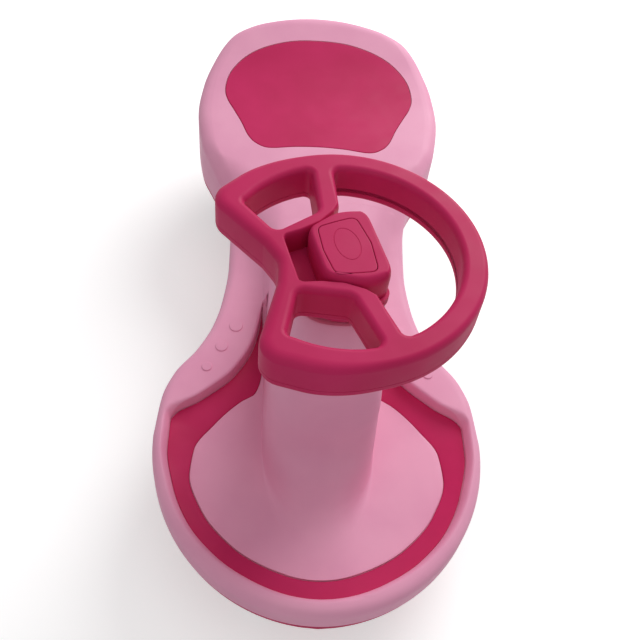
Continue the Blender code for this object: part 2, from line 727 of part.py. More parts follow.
def pad_outline(gap):
    """The pad's whole outline, pulled in by a gap."""
    centre = Vector((0.0, (PAD_HALF_OUTLINE[0][1] + PAD_HALF_OUTLINE[-1][1]) / 2))
    half = [Vector((share * DISH_HALF_WIDTH, y)) for share, y in PAD_HALF_OUTLINE]
    whole = half + [Vector((-point.x, point.y)) for point in reversed(half[1:-1])]
    return [point + (centre - point).normalized() * gap for point in whole], centre


def pad_solid(name, gap, low, high, finish=None):
    """A plate over the pad's outline that follows the seat, between two heights from its surface."""
    outline, centre = pad_outline(gap)
    shares = (0.0, 0.35, 0.7, 0.92, 1.0)
    rows = []
    for share, level in [(share, high) for share in shares] + [(share, low) for share in reversed(shares)]:
        row = [centre.lerp(point, share) for point in outline + outline[:1]]
        rows.append([Vector((p.x, p.y, smooth(SPINE_HEIGHTS, p.y) + level)) for p in reversed(row)])
    return sheet(name, rows, finish)


def screw(name, place, length, head_radius=SCREW_HEAD_RADIUS, parent=None):
    """A screw driven upwards: its place is the middle of the underside of what it holds."""
    profile = [(0.0, length), (SCREW_RADIUS, length), (SCREW_RADIUS, 0.0), (head_radius, 0.0),
               (head_radius, -SCREW_HEAD_HEIGHT), (0.0, -SCREW_HEAD_HEIGHT)]
    made = turned(name, profile, STEEL, parent, 8)
    made.location = place
    return made


def make_body():
    body = mirrored(sheet("body_shell", [body_section(y) for y in body_stations()], LIGHT_PINK))
    cut(body, mirrored(sheet("body inside", core_rows())))

    cut(body, pad_solid("pad recess", 0.0, -INSERT_DEPTH, CUT_PAST))

    sections = column_sections()
    join(body, stack("column outside", [column_loop(*section, 0.0) for section in sections]))
    core_top = COLUMN_TOP_Z - COLUMN_TOP_WALL
    core = [column_loop(sections[0][0] - CUT_PAST, *sections[0][1:], COLUMN_WALL)]
    core += [column_loop(*section, COLUMN_WALL) for section in sections if section[0] < core_top - CUT_PAST]
    core.append(column_loop(core_top, *sections[-1][1:], COLUMN_WALL))
    cut(body, stack("column inside", core))

    boss_low = COLUMN_TOP_Z - BUSH_LENGTH - BUSH_BOSS_SPARE
    join(body, rod("upper bush boss", UPPER_BUSH_BOSS_RADIUS, (0, STEER_Y, boss_low),
                   (0, STEER_Y, COLUMN_TOP_Z - 0.001), sides=20))
    cut(body, rod("upper bush bore", BUSH_RADIUS + BOSS_FIT, (0, STEER_Y, boss_low - CUT_PAST),
                  (0, STEER_Y, COLUMN_TOP_Z + CUT_PAST), sides=20))

    for number, (x, y) in enumerate(body_screw_places()):
        low = max(chassis_underside(y + reach) for reach in (-SCREW_BOSS_RADIUS, 0, SCREW_BOSS_RADIUS))
        low += SHELL_WALL + BOSS_FIT
        join(body, rod(f"screw boss {number}", SCREW_BOSS_RADIUS, (x, y, low), (x, y, boss_top(x, y)),
                       sides=8))
        pilot_top = low + BODY_SCREW_LENGTH - SHELL_WALL + TOUCH_GAP
        cut(body, rod(f"screw pilot {number}", SCREW_RADIUS + SCREW_FIT, (x, y, low - CUT_PAST),
                      (x, y, pilot_top), sides=8))
    for share, y, diameter in BUBBLES:
        for x in (share * DISH_HALF_WIDTH, -share * DISH_HALF_WIDTH):
            top = surface_height(abs(x), y)
            join(body, rod(f"bubble {x}", diameter / 2, (x, y, top - BUBBLE_HEIGHT),
                           (x, y, top + BUBBLE_HEIGHT), sides=10))
    return body


def body_screw_places():
    """Where the body screws stand, on both sides of the car, in the order of their numbers."""
    return [(side * share * DISH_HALF_WIDTH, y) for share, y in BODY_SCREWS
            for side in ((1, -1) if share else (1,))]


def surface_height(x, y):
    """Height of the body's top at a place, from its cross-section there."""
    section = body_section(y)
    for a, b in zip(section[:-2], section[1:-2]):
        if a.x <= x <= b.x and b.x - a.x > MERGE:
            return a.z + (b.z - a.z) * (x - a.x) / (b.x - a.x)
    return section[0].z


def boss_top(x, y):
    """A height within the wall above a screw boss."""
    reach = SCREW_BOSS_RADIUS
    around = [surface_height(abs(x) + dx, y + dy) for dx in (-reach, 0, reach) for dy in (-reach, 0, reach)]
    return min(around) - RECESS_WALL / 3 - seat_sunk(y)


def make_band():
    """The dark band round the floor plate: half a strip, mirrored."""
    gap = INSERT_GAP
    rows = []
    start = BAND_FRONT_Y + 1.5 * gap
    places = [start] + [y for y in body_stations() if start + 0.0005 < y < BAND_END_Y] + [BAND_END_Y]
    split = BAND_INNER_FRONT_Y - gap
    places = sorted(set(places + [split, split - 0.0004]))
    for y in places:
        outer = max(0.0, min(band_outer(y - gap), band_outer(y), band_outer(y + gap)) - gap)
        inner = 0.0 if y < split else max(band_inner(y - gap), band_inner(y), band_inner(y + gap)) + gap
        row = []
        for share in (0.0, 0.5, 1.0):
            x = inner + (outer - inner) * share
            row.append(Vector((x, y, band_surface(x, y))))
        rows.append(row)
    band = sheet("foot_band", rows, DARK_PINK)
    return thickened(mirrored(band), INSERT_THICKNESS)


def make_pad():
    return pad_solid("seat_pad", INSERT_GAP, -INSERT_THICKNESS, 0.0, DARK_PINK)


def keel_half_width(y):
    return DISH_HALF_WIDTH * smooth(KEEL_WIDTHS, y)


def chassis_section(y):
    """Half a cross-section of the lower shell, from the middle out and up to the lip."""
    width = max(0.0, body_half_width(y) - CHASSIS_INSET)
    lip = smooth(LIP_HEIGHTS, y) - LIP_GAP
    flat = max(0.0, width - CHASSIS_EDGE)
    if y < KEEL_WIDTHS[0][0]:
        keel, keel_z, shelf = flat, UNDERSIDE_Z, UNDERSIDE_Z
    else:
        keel = min(flat, keel_half_width(y))
        shelf = smooth(SHELF_HEIGHTS, y)
        keel_z = shelf - smooth(KEEL_DEPTHS, y)
    points = [(0.0, keel_z), (keel * 0.5, keel_z), (max(0.0, keel - 0.002), keel_z), (keel, shelf)]
    points += [(flat, shelf), (max(0.0, width - 0.002), shelf + 0.0015), (width, shelf + 0.004), (width, lip)]
    return [Vector((x, y, z)) for x, z in points]


def chassis_stations():
    places = []
    front, rear = FRONT_Y + CHASSIS_INSET, REAR_Y - CHASSIS_INSET
    places += [front + 0.180 * (1 - math.cos(math.pi / 2 * i / 7)) for i in range(8)]
    places += [-0.160, -0.125, -0.092, -0.060, -0.030, 0.010, 0.050, 0.090, 0.130, 0.170, 0.235]
    places += [y for y in body_stations() if 0.27 < y < rear] + [rear]
    return sorted(places)


def ear(name, inner, outer, pin_z):
    """One upright ear with a round end about its roller's pin."""
    steps = 8
    outline = [(ROLLER_Y + EAR_HALF_LENGTH * math.cos(math.pi * (1 + i / steps)),
                pin_z + EAR_HALF_LENGTH * math.sin(math.pi * (1 + i / steps))) for i in range(steps + 1)]
    top = UNDERSIDE_Z + SHELL_WALL / 2
    outline += [(ROLLER_Y + EAR_HALF_LENGTH, top), (ROLLER_Y - EAR_HALF_LENGTH, top)]
    return stack(name, [[Vector((x, y, z)) for y, z in outline] for x in sorted((inner, outer))])


def make_chassis():
    rows = [list(reversed(chassis_section(y))) for y in chassis_stations()]
    for row in (rows[0], rows[-1]):
        for point in row:
            point.x = 0.0
    chassis = sheet("chassis_shell", rows, DARK_PINK)
    thickened(mirrored(chassis), SHELL_WALL)

    join(chassis, rod("steering boss", STEER_BOSS_RADIUS, (0, STEER_Y, UNDERSIDE_Z + SHELL_WALL / 6),
                      (0, STEER_Y, STEER_BOSS_TOP_Z), sides=20))
    cut(chassis, rod("lower bush bore", BUSH_RADIUS + BOSS_FIT, (0, STEER_Y, UNDERSIDE_Z - CUT_PAST),
                     (0, STEER_Y, STEER_BOSS_TOP_Z + CUT_PAST), sides=20))
    keel = keel_half_width(REAR_AXLE_Y)
    axle_y, axle_z = REAR_AXLE_Y, REAR_WHEEL_RADIUS
    for side in (1, -1):
        join(chassis, rod(f"rear axle boss {side}", AXLE_BOSS_RADIUS,
                          (side * (keel - AXLE_BOSS_DEPTH), axle_y, axle_z),
                          (side * (keel + AXLE_BOSS_PROUD), axle_y, axle_z), sides=16))
    cut(chassis, rod("rear axle bore", REAR_AXLE_RADIUS + AXLE_FIT, (-DISH_HALF_WIDTH, axle_y, axle_z),
                     (DISH_HALF_WIDTH, axle_y, axle_z), sides=16))
    for number, (x, y) in enumerate(body_screw_places()):
        low = chassis_underside(y)
        cut(chassis, rod(f"screw hole {number}", SCREW_RADIUS + SCREW_FIT, (x, y, low - CUT_PAST),
                         (x, y, low + CUT_PAST), sides=8))
    roller_z = ROLLER_RADIUS + ROLLER_LIFT
    for side in (1, -1):
        for hand in (1, -1):
            inner = side * ROLLER_X + hand * (ROLLER_WIDTH / 2 + ROLLER_EAR_GAP)
            join(chassis, ear(f"roller ear {side} {hand}", inner, inner + hand * EAR_WALL, roller_z))
        cut(chassis, rod(f"roller pin bore {side}", PIN_RADIUS + AXLE_FIT,
                         (side * ROLLER_X - ROLLER_WIDTH, ROLLER_Y, roller_z),
                         (side * ROLLER_X + ROLLER_WIDTH, ROLLER_Y, roller_z), sides=12))
    return chassis


def circle_point(radius, degrees):
    return (radius * math.cos(math.radians(degrees)), radius * math.sin(math.radians(degrees)), 0.0)


def wheel_outline():
    """The wheel seen from above, with its notch at the bottom."""
    lobe_angle = math.degrees(math.atan2(-0.058, 0.097))
    corners = [circle_point(WHEEL_RADIUS, lobe_angle + (180 - 2 * lobe_angle) * i / 28) for i in range(29)]
    corners += [(-LOBE_U, LOBE_V, LOBE_ROUND), (-NOTCH_LINE_U, NOTCH_LINE_V, 0.0),
                (0.0, NOTCH_APEX_V, NOTCH_APEX_ROUND), (NOTCH_LINE_U, NOTCH_LINE_V, 0.0),
                (LOBE_U, LOBE_V, LOBE_ROUND)]
    return rounded(corners)


def side_window(side):
    top_angle = math.degrees(math.asin(SIDE_WINDOW_TOP_V / SIDE_GRIP_INNER_RADIUS))
    bottom = SIDE_WINDOW[-1]
    bottom_angle = math.degrees(math.atan2(bottom[1], bottom[0]))
    top = circle_point(SIDE_GRIP_INNER_RADIUS, top_angle)
    corners = [(top[0], top[1], WINDOW_ROUND)] + SIDE_WINDOW
    corners += [circle_point(SIDE_GRIP_INNER_RADIUS, bottom_angle + (top_angle - bottom_angle) * i / 4)
                for i in (1, 2, 3)]
    if side < 0:
        corners = [(-u, v, radius) for u, v, radius in reversed(corners)]
    return rounded(corners)


def big_window():
    """The window over the spokes; the hub's floor reaches into it under the horn housing."""
    start = math.degrees(math.atan2(SPOKE_OUTER_V, SPOKE_OUTER_U))
    arc = [circle_point(GRIP_INNER_RADIUS, start + (180 - 2 * start) * i / 18) for i in range(1, 18)]
    horn = grown(HORN_OUTLINE, HUB_RIM_AROUND_HORN)
    corner = horn[3]
    floor_edge = [(SPOKE_INNER_U, SPOKE_INNER_V, 0.0), (corner[0] + 0.003, SPOKE_INNER_V + 0.001, 0.0),
                  (corner[0], corner[1], corner[2])]
    left_edge = [(-u, v, radius) for u, v, radius in floor_edge]
    corners = [(-SPOKE_OUTER_U, SPOKE_OUTER_V, WINDOW_ROUND)] + left_edge + floor_edge[::-1]
    corners += [(SPOKE_OUTER_U, SPOKE_OUTER_V, WINDOW_ROUND)] + arc
    return rounded(corners)


def wheel_outlines():
    return [wheel_outline(), side_window(1), side_window(-1), big_window()]


def wheel_screw_places():
    return [circle_point(WHEEL_SCREW_RADIUS, degrees) for degrees in WHEEL_SCREW_ANGLES]


def hollow_core(name, low, high, steering):
    """The space inside the wheel's shells, without the hub pocket and the screw pillars."""
    core = plate(name, wheel_outlines(), low, high, inset=WHEEL_WALL, parent=steering)
    pocket = grown(mirror_outline(POCKET), WHEEL_WALL)
    cut(core, plate(name + " pocket", [rounded(pocket)], HUB_FLOOR_Z - HUB_FLOOR_WALL, WHEEL_TOP_Z + CUT_PAST,
                    parent=steering))
    for number, (u, v, _) in enumerate(wheel_screw_places()):
        cut(core, rod(f"{name} pillar {number}", WHEEL_SCREW_BOSS, (u, v, WHEEL_BOTTOM_Z - CUT_PAST),
                      (u, v, WHEEL_TOP_Z + CUT_PAST), parent=steering, sides=8))
    return core


def mirror_outline(right):
    """Both sides of an outline given as the corners up its right side."""
    return right + [(-u, v, radius) for u, v, radius in reversed(right)]


def make_steering_wheel(steering):
    upper = plate("wheel_upper_shell", wheel_outlines(), WHEEL_BOTTOM_Z, WHEEL_TOP_Z, WHEEL_EDGE_ROUND,
                  finish=DARK_PINK, parent=steering)
    lower = plate("wheel_lower_shell", wheel_outlines(), WHEEL_BOTTOM_Z, WHEEL_TOP_Z, WHEEL_EDGE_ROUND,
                  finish=DARK_PINK, parent=steering)
    pocket = plate("hub pocket", [rounded(mirror_outline(POCKET))], HUB_FLOOR_Z, WHEEL_TOP_Z + CUT_PAST,
                   parent=steering)
    reach = WHEEL_RADIUS + CUT_PAST
    below = box("below parting", (-reach, -reach, WHEEL_BOTTOM_Z - CUT_PAST), (reach, reach, WHEEL_PART_Z),
                parent=steering)
    above = box("above parting", (-reach, -reach, WHEEL_PART_Z - WHEEL_PART_GAP),
                (reach, reach, WHEEL_TOP_Z + CUT_PAST), parent=steering)
    core = hollow_core("wheel inside", WHEEL_BOTTOM_Z + WHEEL_WALL, WHEEL_TOP_Z - WHEEL_WALL - TOUCH_GAP,
                       steering)
    cut(upper, pocket)
    cut(upper, core)
    cut(upper, below)
    cut(upper, rod("hub bolt hole", BOLT_RADIUS + AXLE_FIT, (0, 0, HUB_FLOOR_Z - CUT_PAST),
                   (0, 0, HUB_FLOOR_Z + CUT_PAST), parent=steering, sides=12))
    cut(lower, core)
    cut(lower, above)
    join(lower, rod("hub boss", HUB_BOSS_RADIUS, (0, 0, HUB_BOSS_BOTTOM_Z), (0, 0, WHEEL_BOTTOM_Z + 0.001),
                    parent=steering, sides=24))
    cut(lower, rod("hub boss inside", HUB_BOSS_RADIUS - WHEEL_WALL, (0, 0, HUB_BOSS_BOTTOM_Z + WHEEL_WALL),
                   (0, 0, WHEEL_PART_Z + CUT_PAST), parent=steering, sides=24))
    join(lower, rod("hub tube", HUB_TUBE_RADIUS, (0, 0, HUB_BOSS_BOTTOM_Z + 0.001),
                    (0, 0, HUB_FLOOR_Z - HUB_FLOOR_WALL - TOUCH_GAP), parent=steering, sides=20))
    cut(lower, rod("hub tube bore", SHAFT_RADIUS + TOUCH_GAP, (0, 0, HUB_BOSS_BOTTOM_Z - CUT_PAST),
                   (0, 0, HUB_FLOOR_Z + CUT_PAST), parent=steering, sides=20))
    for number, (u, v, _) in enumerate(wheel_screw_places()):
        seat = WHEEL_BOTTOM_Z + WHEEL_WALL
        for shell in (upper, lower):
            cut(shell, rod(f"wheel screw hole {number} {shell.name}", SCREW_RADIUS + SCREW_FIT,
                           (u, v, WHEEL_BOTTOM_Z - CUT_PAST), (u, v, seat + WHEEL_SCREW_LENGTH + 0.001),
                           parent=steering, sides=8))
        cut(lower, rod(f"wheel screw well {number}", WHEEL_SCREW_HEAD + TOUCH_GAP,
                       (u, v, WHEEL_BOTTOM_Z - CUT_PAST), (u, v, seat), parent=steering, sides=8))
        screw(f"wheel_screw_{number + 1}", (u, v, seat - TOUCH_GAP), WHEEL_SCREW_LENGTH, WHEEL_SCREW_HEAD,
              steering)
    return upper, lower


def make_horn(steering):
    base = HUB_FLOOR_Z + TOUCH_GAP
    housing = plate("horn_housing", [rounded(HORN_OUTLINE)], base - HORN_EDGE_ROUND, HORN_TOP_Z,
                    HORN_EDGE_ROUND, finish=DARK_PINK, parent=steering)
    cut(housing, box("horn base", (-WHEEL_RADIUS, -WHEEL_RADIUS, base - CUT_PAST),
                     (WHEEL_RADIUS, WHEEL_RADIUS, base), parent=steering))
    opening = rounded(grown(BUTTON_OUTLINE, BUTTON_GAP))
    inside = rounded(grown(BUTTON_OUTLINE, BUTTON_GAP + BUTTON_FLANGE))
    flange_room = HORN_TOP_Z - BUTTON_THICKNESS + TOUCH_GAP
    cut(housing, plate("horn inside", [inside], base - CUT_PAST, flange_room, parent=steering))
    cut(housing, plate("horn opening", [opening], base - CUT_PAST, HORN_TOP_Z + CUT_PAST, parent=steering))
    button_bottom = HORN_TOP_Z - BUTTON_THICKNESS - BUTTON_FLANGE_THICKNESS
    button = plate("horn_button", [rounded(BUTTON_OUTLINE)], button_bottom, HORN_TOP_Z, BUTTON_EDGE_ROUND,
                   finish=DARK_PINK, parent=steering)
    flange_bottom = button_bottom - TOUCH_GAP
    join(button, plate("button flange", [rounded(grown(BUTTON_OUTLINE, BUTTON_FLANGE))], flange_bottom,
                       HORN_TOP_Z - BUTTON_THICKNESS, parent=steering))
    low = HUB_FLOOR_Z + TOUCH_GAP + SPRING_WIRE
    high = flange_bottom - TOUCH_GAP - SPRING_WIRE
    make_spring(low, high, steering)
    return housing, button


def make_spring(low, high, steering):
    """A compression spring round the head of the wheel bolt."""
    curve = bpy.data.curves.new("spring wire", "CURVE")
    curve.dimensions = "3D"
    curve.bevel_depth = SPRING_WIRE
    curve.bevel_resolution = 1
    curve.use_fill_caps = True
    spline = curve.splines.new("POLY")
    steps = SPRING_TURNS * 8
    spline.points.add(steps)
    for i, point in enumerate(spline.points):
        angle = 2 * math.pi * SPRING_TURNS * i / steps
        point.co = (SPRING_RADIUS * math.cos(angle), SPRING_RADIUS * math.sin(angle),
                    low + (high - low) * i / steps, 1.0)
    drawn = bpy.data.objects.new("spring curve", curve)
    CUTTERS.objects.link(drawn)
    bpy.context.view_layer.update()
    mesh = bpy.data.meshes.new_from_object(drawn.evaluated_get(bpy.context.evaluated_depsgraph_get()))
    bpy.data.objects.remove(drawn)
    shape = bmesh.new()
    shape.from_mesh(mesh)
    bpy.data.meshes.remove(mesh)
    bmesh.ops.remove_doubles(shape, verts=shape.verts, dist=MERGE)
    return from_bmesh("horn_spring", shape, STEEL, steering)


def make_shaft(steering):
    top = HUB_FLOOR_Z - HUB_FLOOR_WALL - TOUCH_GAP
    shaft = ring("steering_shaft", SHAFT_RADIUS, SHAFT_BORE, SHAFT_BOTTOM_Z, top, STEEL, steering, 20)
    ring("shaft_top_nut", SHAFT_BORE - TOUCH_GAP, BOLT_RADIUS + TOUCH_GAP, top - PLUG_LENGTH,
         top - PLUG_SUNK, STEEL, steering, 16)
    head = HUB_FLOOR_Z + BOLT_WASHER
    ring("wheel_bolt_washer", BOLT_WASHER_RADIUS, BOLT_RADIUS + TOUCH_GAP, HUB_FLOOR_Z + TOUCH_GAP,
         head - TOUCH_GAP, STEEL, steering, 20)
    bolt = rod("steering_wheel_bolt", BOLT_HEAD_RADIUS, (0, 0, head), (0, 0, head + BOLT_HEAD_HEIGHT), STEEL,
               steering, 6)
    join(bolt, rod("bolt shank", BOLT_RADIUS, (0, 0, top - PLUG_LENGTH - BOLT_PAST),
                   (0, 0, head + BOLT_WASHER), parent=steering, sides=16))
    yoke_z = (YOKE_BOTTOM_Z + UNDERSIDE_Z - BUSH_FLANGE - THRUST_WASHER) / 2
    reach = YOKE_BOSS_RADIUS + CUT_PAST
    cut(shaft, rod("shaft cross hole", CROSS_RADIUS + TOUCH_GAP, (-reach, 0, yoke_z), (reach, 0, yoke_z),
                   parent=steering, sides=12))
    return yoke_z


def make_bushes():
    upper_top = COLUMN_TOP_Z + BUSH_FLANGE * 0.5 + TOUCH_GAP
    for name, seat, way in (("upper_shaft_bush", upper_top, -1), ("lower_shaft_bush", UNDERSIDE_Z, 1)):
        inner = SHAFT_RADIUS + SHAFT_CLEARANCE
        if way > 0:
            flange_low = seat - TOUCH_GAP - BUSH_FLANGE
            profile = [(BUSH_RADIUS, seat + BUSH_LENGTH), (BUSH_RADIUS, seat - TOUCH_GAP),
                       (BUSH_FLANGE_RADIUS, seat - TOUCH_GAP), (BUSH_FLANGE_RADIUS, flange_low),
                       (inner, flange_low), (inner, seat + BUSH_LENGTH)]
        else:
            low = COLUMN_TOP_Z - BUSH_LENGTH
            profile = [(BUSH_FLANGE_RADIUS, seat), (BUSH_FLANGE_RADIUS, COLUMN_TOP_Z + TOUCH_GAP),
                       (BUSH_RADIUS, COLUMN_TOP_Z + TOUCH_GAP), (BUSH_RADIUS, low), (inner, low),
                       (inner, seat)]
        bush = turned(name, profile, NYLON, None, 20)
        bush.location = (0, STEER_Y, 0)


def make_bogie(steering, bolt_z):
    """The yoke under the floor, its axle and its two wheels."""
    top = UNDERSIDE_Z - TOUCH_GAP - BUSH_FLANGE - TOUCH_GAP
    ring("thrust_washer", BUSH_FLANGE_RADIUS, SHAFT_RADIUS + SHAFT_CLEARANCE, top - THRUST_WASHER, top,
         STEEL, steering, 20)
    yoke_top = top - THRUST_WASHER - TOUCH_GAP
    axle_z = FRONT_WHEEL_RADIUS
    yoke = rod("steering_yoke", YOKE_BOSS_RADIUS, (0, 0, YOKE_BOTTOM_Z), (0, 0, yoke_top), GREY_PLASTIC,
               steering, 20)
    join(yoke, box("yoke arm", (-YOKE_ARM_WIDTH / 2, -BOGIE_OFFSET, axle_z - YOKE_ARM_DEPTH),
                   (YOKE_ARM_WIDTH / 2, 0.0, yoke_top - YOKE_ARM_DEPTH), parent=steering))
    join(yoke, rod("yoke tube", YOKE_TUBE_RADIUS, (-YOKE_HALF_WIDTH, -BOGIE_OFFSET, axle_z),
                   (YOKE_HALF_WIDTH, -BOGIE_OFFSET, axle_z), parent=steering, sides=20))
    cut(yoke, rod("yoke socket", SHAFT_RADIUS + TOUCH_GAP, (0, 0, SHAFT_BOTTOM_Z - TOUCH_GAP),
                  (0, 0, yoke_top + CUT_PAST), parent=steering, sides=20))
    reach = YOKE_HALF_WIDTH + CUT_PAST
    cut(yoke, rod("yoke axle bore", AXLE_RADIUS + AXLE_FIT, (-reach, -BOGIE_OFFSET, axle_z),
                  (reach, -BOGIE_OFFSET, axle_z), parent=steering, sides=16))
    cut(yoke, rod("yoke cross hole", CROSS_RADIUS + TOUCH_GAP, (-reach, 0, bolt_z), (reach, 0, bolt_z),
                  parent=steering, sides=12))
    reach = YOKE_BOSS_RADIUS + CROSS_PAST
    cross = rod("yoke_cross_bolt", CROSS_RADIUS, (-reach, 0, bolt_z), (reach, 0, bolt_z), STEEL, steering, 12)
    head = YOKE_BOSS_RADIUS + TOUCH_GAP
    join(cross, rod("cross bolt head", CROSS_HEAD_RADIUS, (head, 0, bolt_z), (head + CROSS_HEAD, 0, bolt_z),
                    parent=steering, sides=6))
    nut_bore = (CROSS_RADIUS + TOUCH_GAP) / math.cos(math.pi / 6)
    half_nut = CROSS_NUT / 2
    nut = ring("yoke_cross_nut", CROSS_HEAD_RADIUS, nut_bore, -half_nut, half_nut, STEEL, steering, 6)
    laid_along_x(nut, (-head - half_nut, 0, bolt_z))

    place = Vector((0, -BOGIE_OFFSET, axle_z))
    make_axle_set("front", place, AXLE_RADIUS, FRONT_WHEEL_RADIUS, FRONT_WHEEL_WIDTH, FRONT_WHEEL_PLACE,
                  YOKE_HALF_WIDTH, steering, 22)


def make_rear_wheels():
    place = Vector((0, REAR_AXLE_Y, REAR_WHEEL_RADIUS))
    make_axle_set("rear", place, REAR_AXLE_RADIUS, REAR_WHEEL_RADIUS, REAR_WHEEL_WIDTH, REAR_WHEEL_PLACE,
                  keel_half_width(REAR_AXLE_Y) + AXLE_BOSS_PROUD, None, 24)


def make_axle_set(end, place, axle_radius, radius, width, spacing, carrier, parent, sides):
    """One axle with a wheel at each end, spacer washers inside the wheels and caps outside them."""
    cap_inner = spacing + width / 2 + WASHER_GAP
    reach = cap_inner + CAP_LENGTH * 0.75
    axle = rod(f"{end}_axle", axle_radius, (-reach, 0, 0), (reach, 0, 0), STEEL, parent, 16)
    axle.location = place
    for side, name in ((1, "right"), (-1, "left")):
        centre = place + Vector((side * spacing, 0, 0))
        washer = ring(f"{end}_washer_{name}", axle_radius + WASHER_WALL, axle_radius + TOUCH_GAP,
                      carrier + TOUCH_GAP, spacing - width / 2 - TOUCH_GAP, STEEL, parent, 16)
        cap_profile = [(0.0, CAP_LENGTH), (CAP_RADIUS * 0.7, CAP_LENGTH), (CAP_RADIUS, CAP_LENGTH * 0.7),
                       (CAP_RADIUS, 0.0), (axle_radius + TOUCH_GAP, 0.0),
                       (axle_radius + TOUCH_GAP, CAP_LENGTH * 0.75 + TOUCH_GAP),
                       (0.0, CAP_LENGTH * 0.75 + TOUCH_GAP)]
        cap = turned(f"{end}_cap_{name}", [(r, h + cap_inner) for r, h in cap_profile], DARK_PINK, parent, 16)
        for piece in (washer, cap):
            piece.rotation_euler = (0, side * math.pi / 2, 0)
            piece.location = place
        bore = axle_radius + AXLE_FIT
        rim = radius - TYRE_THICKNESS
        half = width / 2
        hub = bore + HUB_WALL
        web = HUB_WEB / 2
        rim_half = half - HUB_WEB / 2
        hub_profile = [(rim, rim_half), (rim, -rim_half), (rim - HUB_WALL, -web), (hub + 0.001, -web),
                       (hub, -half), (bore, -half), (bore, half), (hub, half),
                       (hub + 0.001, web), (rim - HUB_WALL, web)]
        laid_along_x(turned(f"{end}_hub_{name}", hub_profile, GREY_PLASTIC, parent, sides), centre)
        inner = rim + TOUCH_GAP
        tread = half - TYRE_SHOULDER
        tyre_profile = [(inner, half - 0.001), (radius - TYRE_SHOULDER, half), (radius, tread),
                        (radius, -tread), (radius - TYRE_SHOULDER, -half), (inner, 0.001 - half)]
        laid_along_x(turned(f"{end}_tyre_{name}", tyre_profile, TYRE, parent, sides), centre)


def make_rollers():
    centre_z = ROLLER_RADIUS + ROLLER_LIFT
    half = ROLLER_WIDTH / 2
    bore = PIN_RADIUS + AXLE_FIT
    for side, name in ((1, "right"), (-1, "left")):
        tread, face = half - ROLLER_EDGE, ROLLER_RADIUS - ROLLER_EDGE
        profile = [(face, half), (ROLLER_RADIUS, tread), (ROLLER_RADIUS, -tread), (face, -half),
                   (bore, -half), (bore, half)]
        roller = turned(f"antitip_roller_{name}", profile, GREY_PLASTIC, None, 20)
        laid_along_x(roller, (side * ROLLER_X, ROLLER_Y, centre_z))
        reach = half + ROLLER_EAR_GAP + EAR_WALL + 0.001
        pin = rod(f"roller_pin_{name}", PIN_RADIUS, (-reach, 0, 0), (reach, 0, 0), STEEL, None, 12)
        pin.location = (side * ROLLER_X, ROLLER_Y, centre_z)


def make_body_screws():
    for number, (x, y) in enumerate(body_screw_places()):
        screw(f"body_screw_{number + 1}", (x, y, chassis_underside(y) - TOUCH_GAP), BODY_SCREW_LENGTH)


def chassis_underside(y):
    """Height of the underside beside the keel, where the body screws go in."""
    return UNDERSIDE_Z if y < KEEL_WIDTHS[0][0] else smooth(SHELF_HEIGHTS, y)


for old in list(bpy.data.objects):
    bpy.data.objects.remove(old, do_unlink=True)
PARTS = collection("swing car")
CUTTERS = collection("cutters", shown=False)

steering_pivot = bpy.data.objects.new("steering pivot", None)
PARTS.objects.link(steering_pivot)
steering_pivot.location = (0, STEER_Y, 0)
steering_pivot.rotation_euler = (0, 0, STEERING_TURN)

make_body()
make_chassis()
make_band()
make_pad()
make_body_screws()
make_bushes()
cross_bolt_z = make_shaft(steering_pivot)
make_steering_wheel(steering_pivot)
make_horn(steering_pivot)
make_bogie(steering_pivot, cross_bolt_z)
make_rear_wheels()
make_rollers()
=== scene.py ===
import math
import bmesh
import bpy
import numpy as np
from mathutils import Matrix, Vector
from mathutils.geometry import tessellate_polygon


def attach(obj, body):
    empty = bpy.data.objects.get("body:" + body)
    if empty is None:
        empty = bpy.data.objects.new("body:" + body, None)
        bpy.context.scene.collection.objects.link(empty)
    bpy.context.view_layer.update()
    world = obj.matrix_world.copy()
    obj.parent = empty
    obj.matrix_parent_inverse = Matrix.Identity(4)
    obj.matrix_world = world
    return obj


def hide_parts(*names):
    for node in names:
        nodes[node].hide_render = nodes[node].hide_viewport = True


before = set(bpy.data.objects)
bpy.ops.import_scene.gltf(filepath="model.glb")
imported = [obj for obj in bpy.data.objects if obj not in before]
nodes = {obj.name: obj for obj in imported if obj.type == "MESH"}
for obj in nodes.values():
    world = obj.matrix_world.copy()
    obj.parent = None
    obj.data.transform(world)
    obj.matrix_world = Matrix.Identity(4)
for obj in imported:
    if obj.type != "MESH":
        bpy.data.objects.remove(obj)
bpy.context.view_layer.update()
scene = bpy.context.scene
print("frame loaded")

# Camera: where the photograph was taken from, and its slight tilt
cameraView = {
    "lens": 47.37, "sensor": 36.0, "distance": 0.9,
    "target": (-0.00015, -0.07715, 0.15),
    "azimuth": -6.703, "elevation": 51.532, "roll": 7.623,
}


def toLinear(hexColour):
    # an sRGB hex colour as the linear values that the nodes take
    parts = [int(hexColour[i:i + 2], 16) / 255 for i in (1, 3, 5)]
    return tuple(p / 12.92 if p <= 0.04045 else ((p + 0.055) / 1.055) ** 2.4 for p in parts) + (1.0,)


def addNode(tree, kind, settings=None, links=None):
    # settings name a property or an input, links an input and the socket that feeds it
    node = tree.nodes.new(kind)
    for key, value in (settings or {}).items():
        if isinstance(key, str) and hasattr(node, key):
            setattr(node, key, value)
        else:
            node.inputs[key].default_value = value
    for key, socket in (links or {}).items():
        tree.links.new(socket, node.inputs[key])
    return node


def emptyTree(owner):
    # the node tree of a world or a material, cleared
    owner.use_nodes = True
    owner.node_tree.nodes.clear()
    return owner.node_tree


